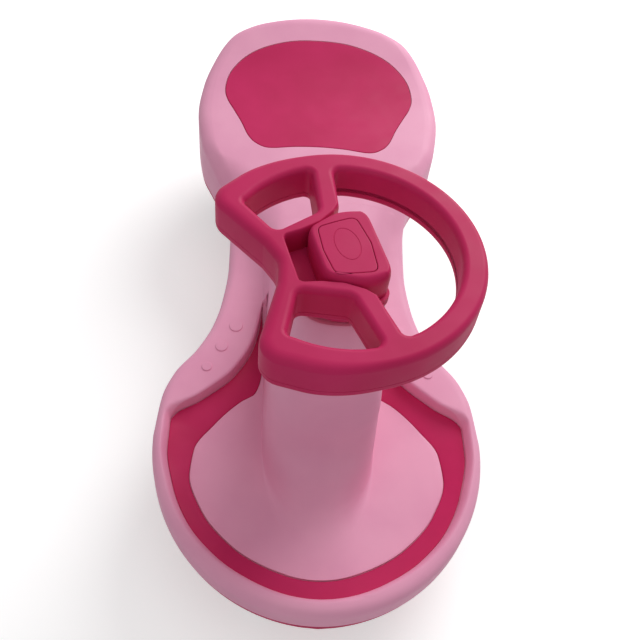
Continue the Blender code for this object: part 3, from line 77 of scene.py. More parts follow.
def makeCamera():
    # looks at the target from a distance, rolled by the photograph's tilt
    azimuth, elevation, roll = (math.radians(cameraView[k]) for k in ("azimuth", "elevation", "roll"))
    back = Vector((math.sin(azimuth) * math.cos(elevation), -math.cos(azimuth) * math.cos(elevation),
                   math.sin(elevation)))
    right = Vector((0, 0, 1)).cross(back).normalized()
    up = back.cross(right)
    tiltedRight = right * math.cos(roll) + up * math.sin(roll)
    tiltedUp = up * math.cos(roll) - right * math.sin(roll)
    data = bpy.data.cameras.new("camera")
    data.lens, data.sensor_width = cameraView["lens"], cameraView["sensor"]
    data.clip_start, data.clip_end = 0.01, 50
    camera = bpy.data.objects.new("camera", data)
    scene.collection.objects.link(camera)
    place = Vector(cameraView["target"]) + back * cameraView["distance"]
    turn = Matrix((tiltedRight, tiltedUp, back)).transposed()
    camera.matrix_world = Matrix.Translation(place) @ turn.to_4x4()
    scene.camera = camera


# Studio: a broad key lamp behind and to the right, a wide fill in front, and pale surroundings
studio = {
    "keyPlace": (0.90, 1.30, 1.50), "keySize": 1.5, "keyPower": 29.0,
    "fillPlace": (-0.9, -1.5, 1.3), "fillSize": 1.6, "fillPower": 2.4,
    "topPlace": (0.1, -0.3, 2.2), "topSize": 1.5, "topPower": 3.0,
    "aim": (0.0, -0.05, 0.15), "ambient": 0.36, "floorSize": 6.0,
    "floorColour": "#F4F4F4", "floorGlow": 0.42,
    "toothScale": 900.0, "toothBump": 0.2, "toothDepth": 0.0002,
}


def addLamp(name, place, size, power):
    # a round area lamp that faces the car
    data = bpy.data.lights.new(name, "AREA")
    data.shape, data.size, data.energy = "DISK", size, power
    lamp = bpy.data.objects.new(name, data)
    scene.collection.objects.link(lamp)
    lamp.location = place
    lamp.rotation_euler = (Vector(studio["aim"]) - Vector(place)).to_track_quat("-Z", "Y").to_euler()


def makeWorld():
    # dim light on the car, and white where the camera or a reflection looks past it
    world = bpy.data.worlds.new("studio")
    scene.world = world
    tree = emptyTree(world)
    path = addNode(tree, "ShaderNodeLightPath")
    seen = path.outputs["Is Camera Ray"]
    for ray in ("Is Glossy Ray", "Is Transmission Ray"):  # metal shows the pale background too
        either = addNode(tree, "ShaderNodeMath", {"operation": "MAXIMUM"}, {0: seen, 1: path.outputs[ray]})
        seen = either.outputs[0]
    dim = addNode(tree, "ShaderNodeBackground", {"Color": toLinear("#FFFFFF"), "Strength": studio["ambient"]})
    white = addNode(tree, "ShaderNodeBackground", {"Color": toLinear("#FFFFFF"), "Strength": 1.0})
    mixed = addNode(tree, "ShaderNodeMixShader", links={0: seen, 1: dim.outputs[0], 2: white.outputs[0]})
    addNode(tree, "ShaderNodeOutputWorld", links={0: mixed.outputs[0]})


def makeFloor():
    # white paper that keeps the shadow and glows only where the camera sees it
    reach = studio["floorSize"] / 2
    mesh = bpy.data.meshes.new("floor")
    mesh.from_pydata([(-reach, -reach, 0), (reach, -reach, 0), (reach, reach, 0), (-reach, reach, 0)], [],
                     [(0, 1, 2, 3)])
    floor = bpy.data.objects.new("floor", mesh)
    scene.collection.objects.link(floor)
    made = bpy.data.materials.new("studio paper floor")  # white paper sweep: matt, even, keeps the shadow
    tree = emptyTree(made)
    path = addNode(tree, "ShaderNodeLightPath")
    coords = addNode(tree, "ShaderNodeTexCoord").outputs["Object"]
    scale, strength, depth = studio["toothScale"], studio["toothBump"], studio["toothDepth"]
    tooth = addNode(tree, "ShaderNodeTexNoise", {"Scale": scale, "Detail": 2.0}, {"Vector": coords})
    bump = addNode(tree, "ShaderNodeBump", {"Strength": strength, "Distance": depth},
                   {"Height": tooth.outputs[0]})
    paper = addNode(tree, "ShaderNodeBsdfDiffuse", {"Color": toLinear(studio["floorColour"])},
                    {"Normal": bump.outputs[0]})
    glow = addNode(tree, "ShaderNodeEmission", {"Strength": studio["floorGlow"]})
    both = addNode(tree, "ShaderNodeAddShader", links={0: paper.outputs[0], 1: glow.outputs[0]})
    mixed = addNode(tree, "ShaderNodeMixShader",
                    links={0: path.outputs["Is Camera Ray"], 1: paper.outputs[0], 2: both.outputs[0]})
    addNode(tree, "ShaderNodeOutputMaterial", links={0: mixed.outputs[0]})
    mesh.materials.append(made)


def makeStudio():
    for name in ("key", "fill", "top"):
        addLamp(name, studio[name + "Place"], studio[name + "Size"], studio[name + "Power"])
    makeWorld()
    makeFloor()


# Finishes. Cloud, smear, grain and wave are the size in millimetres of one lump of that pattern
finishes = {
    # injection moulded polypropylene, polished tool: satin, faint flow clouds, wavy reflections
    "moulded light pink polypropylene": {
        "colours": ("#F3ABC8", "#EDA3C2"), "cloud": 70.0, "roughness": (0.38, 0.48), "smear": 28.0,
        "grain": 0.9, "grainDepth": 0.012, "wave": 34.0, "waveDepth": 0.13, "ior": 1.49, "specular": 0.2,
    },
    # the same plastic in the lower shell, band, pad and wheel: fine spark-eroded grain, softer shine
    "moulded dark pink polypropylene": {
        "colours": ("#CB2862", "#C3245B"), "cloud": 60.0, "roughness": (0.42, 0.52), "smear": 22.0,
        "grain": 0.7, "grainDepth": 0.02, "wave": 40.0, "waveDepth": 0.12, "ior": 1.49, "specular": 0.16,
    },
    # zinc plated steel: pale grey metal with blue-grey blotches and drawing lines
    "zinc plated steel": {
        "colours": ("#B9BBC0", "#9FA3AB"), "cloud": 6.0, "roughness": (0.24, 0.42), "smear": 3.0,
        "grain": 0.25, "grainDepth": 0.006, "wave": 5.0, "waveDepth": 0.01, "metallic": 1.0,
    },
    # unfilled nylon bearing: milky, slightly waxy
    "natural nylon": {
        "colours": ("#E9E4D6", "#DDD7C6"), "cloud": 8.0, "roughness": (0.42, 0.52), "smear": 5.0,
        "grain": 0.4, "grainDepth": 0.012, "wave": 9.0, "waveDepth": 0.03, "ior": 1.53,
    },
    # glass filled wheel plastic: mid grey, matt, speckled
    "grey glass filled nylon": {
        "colours": ("#6E7076", "#62646A"), "cloud": 12.0, "roughness": (0.46, 0.6), "smear": 6.0,
        "grain": 0.5, "grainDepth": 0.03, "wave": 12.0, "waveDepth": 0.05, "ior": 1.53,
    },
    # soft polyurethane tread: near black, dusty where it rolls
    "polyurethane tread": {
        "colours": ("#34343A", "#48474A"), "cloud": 9.0, "roughness": (0.62, 0.78), "smear": 4.0,
        "grain": 0.6, "grainDepth": 0.05, "wave": 8.0, "waveDepth": 0.04, "ior": 1.5,
    },
}
slotFinishes = {
    "light_pink": "moulded light pink polypropylene", "dark_pink": "moulded dark pink polypropylene",
    "zinc_steel": "zinc plated steel", "nylon": "natural nylon",
    "wheel_plastic": "grey glass filled nylon", "tread": "polyurethane tread",
}


def makeFinish(name, spec):
    # two colours in clouds, a roughness that varies, long waves and fine grain
    made = bpy.data.materials.new(name)
    tree = emptyTree(made)
    coords = addNode(tree, "ShaderNodeTexCoord").outputs["Object"]
    noise = {}
    for key, detail in (("cloud", 3.0), ("smear", 2.0), ("grain", 2.0), ("wave", 1.0)):
        settings = {"Scale": 1000.0 / spec[key], "Detail": detail}
        noise[key] = addNode(tree, "ShaderNodeTexNoise", settings, {"Vector": coords}).outputs[0]
    # noise keeps near a half, so its middle is spread over the whole range
    spread = addNode(tree, "ShaderNodeMapRange", {1: 0.35, 2: 0.65}, {0: noise["cloud"]})
    first, second = (toLinear(colour) for colour in spec["colours"])
    colour = addNode(tree, "ShaderNodeMix", {"data_type": "RGBA", 6: first, 7: second},
                     {0: spread.outputs[0]})
    low, high = spec["roughness"]
    roughness = addNode(tree, "ShaderNodeMapRange", {1: 0.3, 2: 0.7, 3: low, 4: high}, {0: noise["smear"]})
    waves = addNode(tree, "ShaderNodeBump", {"Strength": 1.0, "Distance": spec["waveDepth"] / 1000},
                    {"Height": noise["wave"]})
    grains = addNode(tree, "ShaderNodeBump", {"Strength": 1.0, "Distance": spec["grainDepth"] / 1000},
                     {"Height": noise["grain"], "Normal": waves.outputs[0]})
    shader = addNode(tree, "ShaderNodeBsdfPrincipled", {"Metallic": spec.get("metallic", 0.0)},
                     {"Base Color": colour.outputs[2], "Roughness": roughness.outputs[0],
                      "Normal": grains.outputs[0]})
    if "ior" in spec:
        shader.inputs["IOR"].default_value = spec["ior"]
        shader.inputs["Specular IOR Level"].default_value = spec.get("specular", 0.5)
    addNode(tree, "ShaderNodeOutputMaterial", links={0: shader.outputs[0]})
    return made


materials = {slotName: makeFinish(name, finishes[name]) for slotName, name in slotFinishes.items()}
print("materials made")

nodeSlots = [
    ("light_pink", ("body_shell",)),
    ("dark_pink", ("chassis_shell", "foot_band", "seat_pad", "wheel_upper_shell", "wheel_lower_shell",
                   "horn_housing", "horn_button", "front_cap_", "rear_cap_")),
    ("zinc_steel", ("body_screw_", "wheel_screw_", "steering_wheel_bolt", "wheel_bolt_washer",
                    "shaft_top_nut", "steering_shaft", "horn_spring", "thrust_washer", "yoke_cross_",
                    "front_axle", "rear_axle", "front_washer_", "rear_washer_", "roller_pin_")),
    ("nylon", ("upper_shaft_bush", "lower_shaft_bush")),
    ("wheel_plastic", ("steering_yoke", "front_hub_", "rear_hub_", "antitip_roller_")),
    ("tread", ("front_tyre_", "rear_tyre_")),
]
for slotName, starts in nodeSlots:
    for nodeName, node in nodes.items():
        if nodeName.startswith(starts):
            node.data.materials.clear()
            node.data.materials.append(materials[slotName])

# Body shell, with the same sizes as the solid, in metres. Pairs are (place along the car, value)
bodyShape = {
    "front": -0.382, "rear": 0.382, "dishCentre": -0.200, "dishHalf": 0.166,
    "outline": [(-0.200, 0.166), (-0.157, 0.162), (-0.127, 0.152), (-0.096, 0.131), (-0.062, 0.1155),
                (-0.028, 0.1075), (0.020, 0.1025), (0.067, 0.103), (0.100, 0.109), (0.144, 0.130),
                (0.180, 0.1445), (0.238, 0.152), (0.276, 0.148), (0.315, 0.136), (0.350, 0.115),
                (0.368, 0.085), (0.378, 0.046), (0.382, 0.0)],
    "bandFront": -0.363, "bandInnerFront": -0.342, "bandTip": -0.031,
    "bandOuter": [(-0.363, 0.0), (-0.349, 0.058), (-0.326, 0.0945), (-0.291, 0.1255), (-0.255, 0.142),
                  (-0.208, 0.152), (-0.180, 0.152), (-0.170, 0.147), (-0.154, 0.124), (-0.122, 0.091),
                  (-0.085, 0.072), (-0.060, 0.066), (-0.031, 0.062)],
    "bandInner": [(-0.342, 0.0), (-0.334, 0.040), (-0.311, 0.081), (-0.275, 0.1125), (-0.236, 0.127),
                  (-0.208, 0.1245), (-0.180, 0.107), (-0.150, 0.080), (-0.140, 0.066), (-0.120, 0.060),
                  (-0.084, 0.057), (-0.049, 0.060), (-0.031, 0.062)],
    "floor": 0.098, "insertDepth": 0.0027, "floorStep": 0.0004,
    "bandRise": [(-0.363, 0.007), (-0.200, 0.007), (-0.150, 0.0055), (-0.085, 0.002), (-0.031, 0.0)],
    "rimEdge": 0.1068, "wingEdge": 0.1172, "wingStart": -0.177, "wingRamp": 0.016,
    "rimInnerRise": 0.0065, "rimPower": 1.8, "wingRoll": 0.0028, "wingRollFall": 0.0022, "wingSlope": 0.022,
    "crown": [(-0.382, 0.1165), (-0.200, 0.1165), (-0.150, 0.1180), (-0.031, 0.1195), (0.020, 0.1240),
              (0.060, 0.1310), (0.100, 0.1480), (0.150, 0.1690), (0.200, 0.1765), (0.250, 0.1830),
              (0.300, 0.1940), (0.350, 0.2120), (0.382, 0.2250)],
    "spineTop": [(-0.020, 0.152), (0.020, 0.160), (0.060, 0.165), (0.100, 0.169), (0.150, 0.174),
                 (0.200, 0.178), (0.250, 0.184), (0.300, 0.195), (0.350, 0.213), (0.382, 0.2255)],
    "spineHalf": [(-0.031, 0.0460), (-0.020, 0.0474), (0.020, 0.0490), (0.060, 0.050), (0.100, 0.062),
                  (0.130, 0.088), (0.150, 0.1142)],
    "flankHalf": [(-0.031, 0.0625), (0.0, 0.064), (0.030, 0.068), (0.060, 0.073), (0.100, 0.086),
                  (0.150, 0.1178)],
    "flankTop": [(-0.031, 0.1205), (0.0, 0.128), (0.030, 0.139), (0.060, 0.151), (0.100, 0.162),
                 (0.150, 0.1736)],
    "flankFlat": 0.010, "flankSoft": 0.004, "flankSpread": 0.018,
    "fan": [(-0.031, 0.062), (0.0, 0.073), (0.030, 0.079), (0.060, 0.085), (0.100, 0.096), (0.150, 0.1142)],
    "seatStart": 0.150, "seatShoulder": 0.018, "seatFoot": 0.0144,
    "lip": [(-0.382, 0.0905), (-0.050, 0.0905), (0.050, 0.102), (0.120, 0.111), (0.300, 0.116),
            (0.382, 0.127)],
    "edgeAcross": [(-0.382, 0.0105), (-0.050, 0.0100), (0.060, 0.0110), (0.160, 0.0150)],
    "edgeFall": [(-0.382, 0.0095), (-0.050, 0.0080), (0.060, 0.0080), (0.160, 0.0105)],
    "edgePower": 2.2, "wall": 0.0025, "wingFade": 0.020, "tipStart": -0.062, "tipRise": 0.0205,
    "tipBlend": 0.016, "noseReach": 0.182, "rearReach": 0.100, "middle": (-0.196, 0.281), "step": 0.0036,
    # shares of the way across: floor plate, band, rim, and the outer wall with how far that is set in
    "floorShares": [0, 0.1, 0.2, 0.3, 0.4, 0.5, 0.6, 0.7, 0.8, 0.9, 0.97, 1.0],
    "bandShares": [0.0, 0.02, 0.2, 0.4, 0.6, 0.8, 0.98, 1.0],
    "rimShares": [0.0, 0.008, 0.03, 0.06, 0.10, 0.15, 0.20, 0.26, 0.33, 0.41, 0.49, 0.57, 0.65, 0.72, 0.78,
                  0.83, 0.87, 0.905, 0.935, 0.96, 0.98, 0.992, 0.998, 1.0],
    "wallShares": [(0.12, 0.0), (0.35, 0.0), (0.62, 0.0), (0.88, 0.0), (0.97, 0.0001), (1.0, 0.0006)],
}

# Steering column: level, front, back, half-width, how square it is ahead and behind.
# Its lowest rings run out over the floor plate as a long soft nose
columnShape = {
    "centre": -0.185, "frontReach": -0.331, "backReach": 0.085,
    "edge": [(-0.185, 0.0640), (-0.150, 0.0605), (-0.120, 0.0580), (-0.084, 0.0577), (-0.049, 0.0598),
             (-0.031, 0.0616), (0.0, 0.0630), (0.030, 0.0670), (0.060, 0.0700), (0.085, 0.0720)],
    "sections": [
        (0.0980, -0.3270, 0.0770, 0.0578, 2.0, 6.0), (0.0985, -0.3130, 0.0750, 0.0577, 2.0, 6.0),
        (0.1000, -0.3010, 0.0735, 0.0576, 2.0, 6.0), (0.1025, -0.2925, 0.0720, 0.0576, 2.0, 6.0),
        (0.1060, -0.2850, 0.0700, 0.0575, 2.05, 6.0), (0.1100, -0.2785, 0.0690, 0.0573, 2.1, 6.0),
        (0.1200, -0.2670, 0.0665, 0.0569, 2.25, 6.0), (0.1300, -0.2580, 0.0640, 0.0565, 2.4, 6.0),
        (0.1500, -0.2430, 0.0600, 0.0555, 2.7, 6.0), (0.1660, -0.2370, 0.0560, 0.0545, 2.9, 4.6),
        (0.1730, -0.2355, 0.0300, 0.0542, 2.9, 3.9), (0.1830, -0.2340, 0.0030, 0.0540, 3.0, 3.4),
        (0.2000, -0.2305, -0.0340, 0.0530, 3.0, 3.0), (0.2250, -0.2280, -0.0720, 0.0495, 3.0, 2.8),
        (0.2550, -0.2262, -0.1040, 0.0455, 2.9, 2.6), (0.2900, -0.2242, -0.1300, 0.0415, 2.7, 2.5),
        (0.3245, -0.2225, -0.1470, 0.0385, 2.4, 2.4), (0.3266, -0.2218, -0.1477, 0.0378, 2.4, 2.4),
        (0.3275, -0.2195, -0.1500, 0.0355, 2.4, 2.4),
    ],
    "lowLevels": [(0.0, 0.098), (0.25, 0.0992), (0.5, 0.106), (0.75, 0.123), (1.0, 0.150)],
    "wallLevels": (0.150, 0.3245), "topLevels": [0.3256, 0.3266, 0.3272, 0.3275],
    "capShares": (0.7, 0.35, 0.0),
    "lowRings": 26, "wallRings": 26, "outerRings": 4, "saddle": 0.0025,
    "edgeAhead": 2.2, "edgeBehind": (16, 6),
}


def hermite(t, startValue, startSlope, endValue, endSlope):
    # a smooth curve between two values with a given slope at each
    return ((2 * t**3 - 3 * t**2 + 1) * startValue + (t**3 - 2 * t**2 + t) * startSlope
            + (3 * t**2 - 2 * t**3) * endValue + (t**3 - t**2) * endSlope)


def eased(value):
    # from nought to one, starting and ending gently
    value = np.clip(value, 0, 1)
    return value * value * (3 - 2 * value)


def quarterRound(count):
    # steps of a quarter circle, each as (1 - cosine, 1 - sine)
    turns = [math.pi / 2 * k / count for k in range(count + 1)]
    return [(1 - math.cos(turn), 1 - math.sin(turn)) for turn in turns]


def along(points, places):
    # a curve through (place, value) points that never overshoots them
    xs, values = np.array(points, float).T
    slopes = np.diff(values) / np.diff(xs)
    product, total = slopes[:-1] * slopes[1:], slopes[:-1] + slopes[1:]
    inner = np.where(product > 0, 2 * product / np.where(product > 0, total, 1.0), 0.0)
    tangents = np.concatenate((slopes[:1], inner, slopes[-1:]))
    places = np.clip(places, xs[0], xs[-1])
    k = np.clip(np.searchsorted(xs, places, side="right") - 1, 0, len(xs) - 2)
    span = xs[k + 1] - xs[k]
    t = (places - xs[k]) / span
    return hermite(t, values[k], span * tangents[k], values[k + 1], span * tangents[k + 1])


def roundEnded(points, y):
    # as along, but of the squares, so that a width runs out to nought in a round end
    return np.sqrt(np.maximum(0.0, along([(place, width * width) for place, width in points], y)))


def outlineHalf(y):
    # half-width of the body from above: an ellipse in front, then through the outline's points
    reach = np.clip((bodyShape["dishCentre"] - y) / (bodyShape["dishCentre"] - bodyShape["front"]), 0, 1)
    return np.where(y <= bodyShape["dishCentre"], bodyShape["dishHalf"] * np.sqrt(1 - reach * reach),
                    roundEnded(bodyShape["outline"], y))


def bandOuterHalf(y):
    return np.where(y <= bodyShape["bandFront"], 0.0, roundEnded(bodyShape["bandOuter"], y))


def bandInnerHalf(y):
    return np.where(y <= bodyShape["bandInnerFront"], 0.0, roundEnded(bodyShape["bandInner"], y))


def planDistance(x, y, halfCurve, batch=3000):
    # least distance in plan from each place to a curve that is mirrored about the middle
    curve = np.concatenate((halfCurve[::-1] * (-1, 1), halfCurve))
    start, step = curve[:-1], np.diff(curve, axis=0)
    size = np.maximum((step**2).sum(1), 1e-14)
    found = np.empty(len(x))
    for first in range(0, len(x), batch):
        part = slice(first, first + batch)
        p = np.stack((x[part], y[part]), -1)[:, None, :]
        t = np.clip(((p - start) * step).sum(-1) / size, 0, 1)
        found[part] = np.sqrt((((start + t[..., None] * step) - p)**2).sum(-1).min(1))
    return found


def curvePoints(half, start, end, count=260):
    # points of a half-width curve, close together at both ends
    turn = np.linspace(0, math.pi, count)
    y = start + (end - start) * (1 - np.cos(turn)) / 2
    return np.stack((half(y), y), -1)


def floorHeight(y):
    # the floor plate is flat and climbs beside the column to the band's tips
    climb = np.clip((y - bodyShape["tipStart"]) / (bodyShape["bandTip"] - bodyShape["tipStart"]), 0, 1)
    return bodyShape["floor"] + bodyShape["tipRise"] * climb**2


def toBandInner(x, y):
    # distance in plan to the band's inner edge, and below to its outer edge
    return planDistance(x, y, curvePoints(bandInnerHalf, bodyShape["bandInnerFront"], bodyShape["bandTip"]))


def toBandOuter(x, y):
    return planDistance(x, y, curvePoints(bandOuterHalf, bodyShape["bandFront"], bodyShape["bandTip"]))


def bandSurface(x, y):
    # the band climbs evenly from its inner to its outer edge
    x = np.abs(x)
    toInner, toOuter = toBandInner(x, y), toBandOuter(x, y)
    share = toInner / np.maximum(toInner + toOuter, 1e-5)
    share = np.where((y > bodyShape["bandInnerFront"]) & (x <= bandInnerHalf(y)), 0.0, share)
    share = np.where(x >= bandOuterHalf(y), 1.0, share)
    return floorHeight(y) + along(bodyShape["bandRise"], y) * share


def edgeDrop(x, y):
    # how far the rounded outer edge has fallen at a place
    distance = planDistance(x, y, curvePoints(outlineHalf, bodyShape["front"], bodyShape["rear"]))
    share = np.clip(1 - distance / along(bodyShape["edgeAcross"], y), 0, 1)
    fallen = 1 - np.sqrt(np.maximum(0.0, 1 - share**bodyShape["edgePower"]))
    return along(bodyShape["edgeFall"], y) * fallen


def rimHeight(x, y):
    # rim round the dish, and the raised wings beside the column
    shape, near = bodyShape, toBandOuter(x, y)
    crown = along(shape["crown"], y)
    wing = eased((y - shape["wingStart"]) / shape["wingRamp"])
    rise, roll, slope = (np.clip(1 - near / shape[key], 0, 1)
                         for key in ("rimInnerRise", "wingRoll", "wingSlope"))
    rim = (crown - shape["rimEdge"]) * rise**shape["rimPower"]
    rolled = shape["wingRollFall"] * (1 - np.sqrt(np.maximum(0.0, 1 - roll**2)))
    rolled = rolled + np.maximum(0.0, crown - shape["wingEdge"]) * slope**2
    rolled = rolled * np.clip((shape["bandTip"] - y) / shape["wingFade"], 0, 1)**0.5
    return crown - rim * (1 - wing) - rolled * wing


def spineHeight(x, y):
    # spine, flanks and seat behind the band's tips, one cross-section at each place along the car
    shape, result = bodyShape, np.empty(len(x))
    flat, soft, spread = shape["flankFlat"], shape["flankSoft"], shape["flankSpread"]
    for place in np.unique(y):
        here = y == place
        top, crown = along(shape["spineTop"], place), along(shape["crown"], place)
        width = float(outlineHalf(np.array([place]))[0])
        if place > shape["seatStart"]:
            spine, foot, footTop = width - shape["seatShoulder"], width - shape["seatFoot"], top - 0.0004
        else:
            spine, foot, footTop = (along(shape[key], place)
                                    for key in ("spineHalf", "flankHalf", "flankTop"))
        level, fall = min(crown, footTop), top - footTop
        outer = max(foot + soft, min(foot + spread, width - soft))
        knots = [(0.0, top), (spine - flat, top), (spine - soft, top - 0.04 * fall),
                 ((spine + foot) / 2, (top + footTop) / 2 + 0.06 * fall), (foot, footTop),
                 (outer, level + 0.25 * (footTop - level)), (max(width, outer + soft) + 0.01, level)]
        if spine < flat + 0.002:  # too narrow for flanks at the very rear
            knots = [(0.0, top), (0.4, top)]
        result[here] = along(knots, x[here])
    return result


def columnEdge(y):
    # half-width of the ring of the body that is modelled round the column
    shape, centre = columnShape, columnShape["centre"]
    ahead = np.clip((centre - y) / (centre - shape["frontReach"]), 0, 1)
    behind = np.clip((y - centre) / (shape["backReach"] - centre), 0, 1)
    frontPower, (backPower, backRoot) = shape["edgeAhead"], shape["edgeBehind"]
    front = shape["edge"][0][1] * np.maximum(0.0, 1 - ahead**frontPower)**(1 / frontPower)
    back = along(shape["edge"], y) * np.maximum(0.0, 1 - behind**backPower)**(1 / backRoot)
    return np.where(y < centre, front, back)


def bodyStations():
    # places along the car, close together at every round end
    shape = bodyShape
    nose = shape["front"] + shape["noseReach"] * (1 - np.cos(np.linspace(0, math.pi / 2, 58)))
    rear = shape["rear"] - shape["rearReach"] * (1 - np.cos(np.linspace(0, math.pi / 2, 34)))
    middle = np.arange(*shape["middle"], shape["step"])
    fine = np.array([-0.00015, 0.00015, 0.0005, 0.0011, 0.0019, 0.003, 0.0045])
    wingRamp = np.array([-0.172, -0.176, -0.168, -0.164])
    fixed = np.concatenate((
        shape["bandFront"] + fine, shape["bandInnerFront"] + fine,
        columnShape["frontReach"] + np.array([0.0, 0.0002, 0.0008, 0.0018, 0.0032]),
        columnShape["backReach"] - np.array([0.0, 0.0001, 0.0004, 0.0010, 0.0022, 0.0042]),
        shape["bandTip"] + np.array([-0.004, -0.002, -0.0008, -0.0002, 0.0002, 0.0015]), wingRamp))
    free = np.concatenate((nose[1:], middle, rear[1:]))
    free = free[np.abs(free[:, None] - fixed[None, :]).min(1) > 0.0007]
    places = np.unique(np.concatenate((free, fixed, [shape["front"], shape["rear"]])))
    return places[np.concatenate(([True], np.diff(places) > 0.00005))]


def bodyStrips(y):
    # rows of points from the column's ring out to the lip: places across the car and heights
    shape, floorShares, bandShares = bodyShape, bodyShape["floorShares"], bodyShape["bandShares"]
    width, lip = outlineHalf(y), along(shape["lip"], y)
    start = np.where((y > columnShape["frontReach"]) & (y < columnShape["backReach"]), columnEdge(y), 0.0)
    ahead = y < shape["bandTip"]
    inner = np.maximum(bandInnerHalf(y), start + 0.0002 * (start > 0))
    outer = np.maximum(bandOuterHalf(y), inner)
    shoulder = np.maximum(0.0, width - shape["seatShoulder"])
    fan = np.where(y > shape["seatStart"], shoulder, along(shape["fan"], y))
    inside = np.minimum(np.where(ahead, outer, fan), width)
    across, heights = [], []

    # floor plate and band, which behind the band's tips share the spine between them
    count = len(floorShares) + len(bandShares)
    floorLevel = bandSurface(np.zeros(len(y)), y) - shape["insertDepth"]
    for k, share in enumerate(floorShares):
        across.append(np.where(ahead, start + (inner - start) * share,
                               start + (inside - start) * k / (count - 1)))
        height = floorHeight(y) - (shape["floorStep"] if share == 1.0 else 0.0)
        heights.append(np.where(y < shape["bandInnerFront"], floorLevel, height))
    for k, share in enumerate(bandShares, len(floorShares)):
        x = np.where(ahead, inner + (outer - inner) * share, start + (inside - start) * (k / (count - 1)))
        across.append(x)
        heights.append(bandSurface(x, y) - shape["insertDepth"])

    # rim and wings, which turn into the spine's flanks just before the tips
    near = ahead & (y > shape["bandTip"] - shape["tipBlend"])
    ease = eased((y[near] - shape["bandTip"] + shape["tipBlend"]) / shape["tipBlend"])
    for share in shape["rimShares"]:
        x = inside + (width - inside) * share
        rim = rimHeight(x, y)
        rim[near] = rim[near] * (1 - ease) + spineHeight(x[near], y[near]) * ease
        across.append(x)
        heights.append(rim)

    # the spine and the seat behind, the nose ahead of the band, and the rounded outer edge of both
    behind, front = ~ahead, y <= shape["bandFront"]
    frontLevel, fall = rimHeight(np.zeros(len(y)), y), along(shape["edgeFall"], y)
    for k, x in enumerate(across):
        height = heights[k].copy()
        height[behind] = spineHeight(x[behind], y[behind])
        if k < count:
            height = np.where(front, frontLevel, height)
        drop = fall if k == len(across) - 1 else edgeDrop(x, y)
        height = height - np.where(behind | (k >= count) | front, drop, 0.0)
        if k:  # the nose never rises outwards where its edge is steep
            steep = (drop > 0.3 * fall) & (y < -0.3)
            height = np.where(steep, np.minimum(height, heights[k - 1]), height)
        heights[k] = height
    top = heights[-1]
    for share, inset in shape["wallShares"]:
        across.append(np.maximum(0.0, width - inset))
        heights.append(top + (lip - top) * share)
    return np.stack(across), np.stack(heights)


def columnRings(edgeX, edgeY):
    # rings from the ring's outer edge up the column and over its top, as (x, y, z) rows
    shape = columnShape
    centre = shape["centre"]
    table = np.array(shape["sections"])
    ahead = edgeY < centre
    reach = np.where(ahead, (centre - edgeY) / (centre - shape["frontReach"]),
                     (edgeY - centre) / (shape["backReach"] - centre))
    turn = np.arccos(np.clip(reach, 0, 1)**np.where(ahead, 1.1, 3.0))
    lowLevels = along(shape["lowLevels"], np.linspace(0, 1, shape["lowRings"]))
    wallLevels = np.linspace(*shape["wallLevels"], shape["wallRings"])[1:]
    levels = np.concatenate((lowLevels, wallLevels, shape["topLevels"]))
    rows = []
    for level in levels:
        front, back, half, squareAhead, squareBehind = (along(list(zip(table[:, 0], table[:, i])), level)
                                                        for i in range(1, 6))
        power = 2 / np.where(ahead, squareAhead, squareBehind)
        x = half * np.sin(turn)**power
        y = centre + np.where(ahead, front - centre, back - centre) * np.maximum(np.cos(turn), 0)**power
        rows.append(np.stack((x, y, np.full(len(x), level)), -1))
    last, middle = rows[-1], np.array([0.0, centre, levels[-1]])
    rows += [middle + (last - middle) * share for share in shape["capShares"]]
    edge = np.stack((edgeX, edgeY, np.zeros(len(edgeX))), -1)
    outer = [edge + (rows[0] - edge) * k / shape["outerRings"] for k in range(shape["outerRings"])]
    rows = outer + rows
    for row in rows:
        under = floorHeight(row[:, 1])
        behind = row[:, 1] > bodyShape["bandTip"]
        if behind.any():
            under[behind] = spineHeight(row[behind, 0], row[behind, 1])
        blend = np.clip(0.5 + (row[:, 2] - under) / (2 * shape["saddle"]), 0, 1)
        joined = row[:, 2] * blend + under * (1 - blend) + shape["saddle"] * blend * (1 - blend)
        column = np.where(behind, joined, np.maximum(row[:, 2], under))
        row[:, 2] = np.where(row[:, 2] < bodyShape["floor"] - 0.001, under, column)
    return rows


def gridFaces(rows, columns, offset=0):
    # quads between neighbouring rows and columns of points
    index = np.arange(rows * columns).reshape(rows, columns) + offset
    quads = np.stack((index[:-1, :-1], index[1:, :-1], index[1:, 1:], index[:-1, 1:]), -1)
    return quads.reshape(-1, 4)


def meshFrom(name, points, faces, materialSlot, weld=2e-6, mirror=False):
    # a piece from points and quads, its doubles merged and its faces outwards
    points = np.asarray(points, float).reshape(-1, 3)
    faces = np.asarray(faces)
    if mirror:
        faces = np.concatenate((faces, faces[:, ::-1] + len(points)))
        points = np.concatenate((points, points * (-1, 1, 1)))
    mesh = bpy.data.meshes.new(name)
    mesh.from_pydata(points.tolist(), [], faces.tolist())
    builder = bmesh.new()
    builder.from_mesh(mesh)
    bmesh.ops.remove_doubles(builder, verts=builder.verts, dist=weld)
    bmesh.ops.dissolve_degenerate(builder, edges=builder.edges, dist=weld)
    bmesh.ops.recalc_face_normals(builder, faces=builder.faces)
    builder.to_mesh(mesh)
    builder.free()
    return pieceFrom(name, mesh, materialSlot)


def smoothed(mesh, sharp=38):
    # smooth shading, apart from edges that turn by more than the angle
    mesh.shade_smooth()
    mesh.set_sharp_from_angle(angle=math.radians(sharp))


def pieceFrom(name, mesh, materialSlot, sharp=38):
    # an object from a mesh, with its finish and its shading
    mesh.materials.clear()
    mesh.materials.append(materials[materialSlot])
    smoothed(mesh, sharp)
    made = bpy.data.objects.new(name, mesh)
    scene.collection.objects.link(made)
    return made


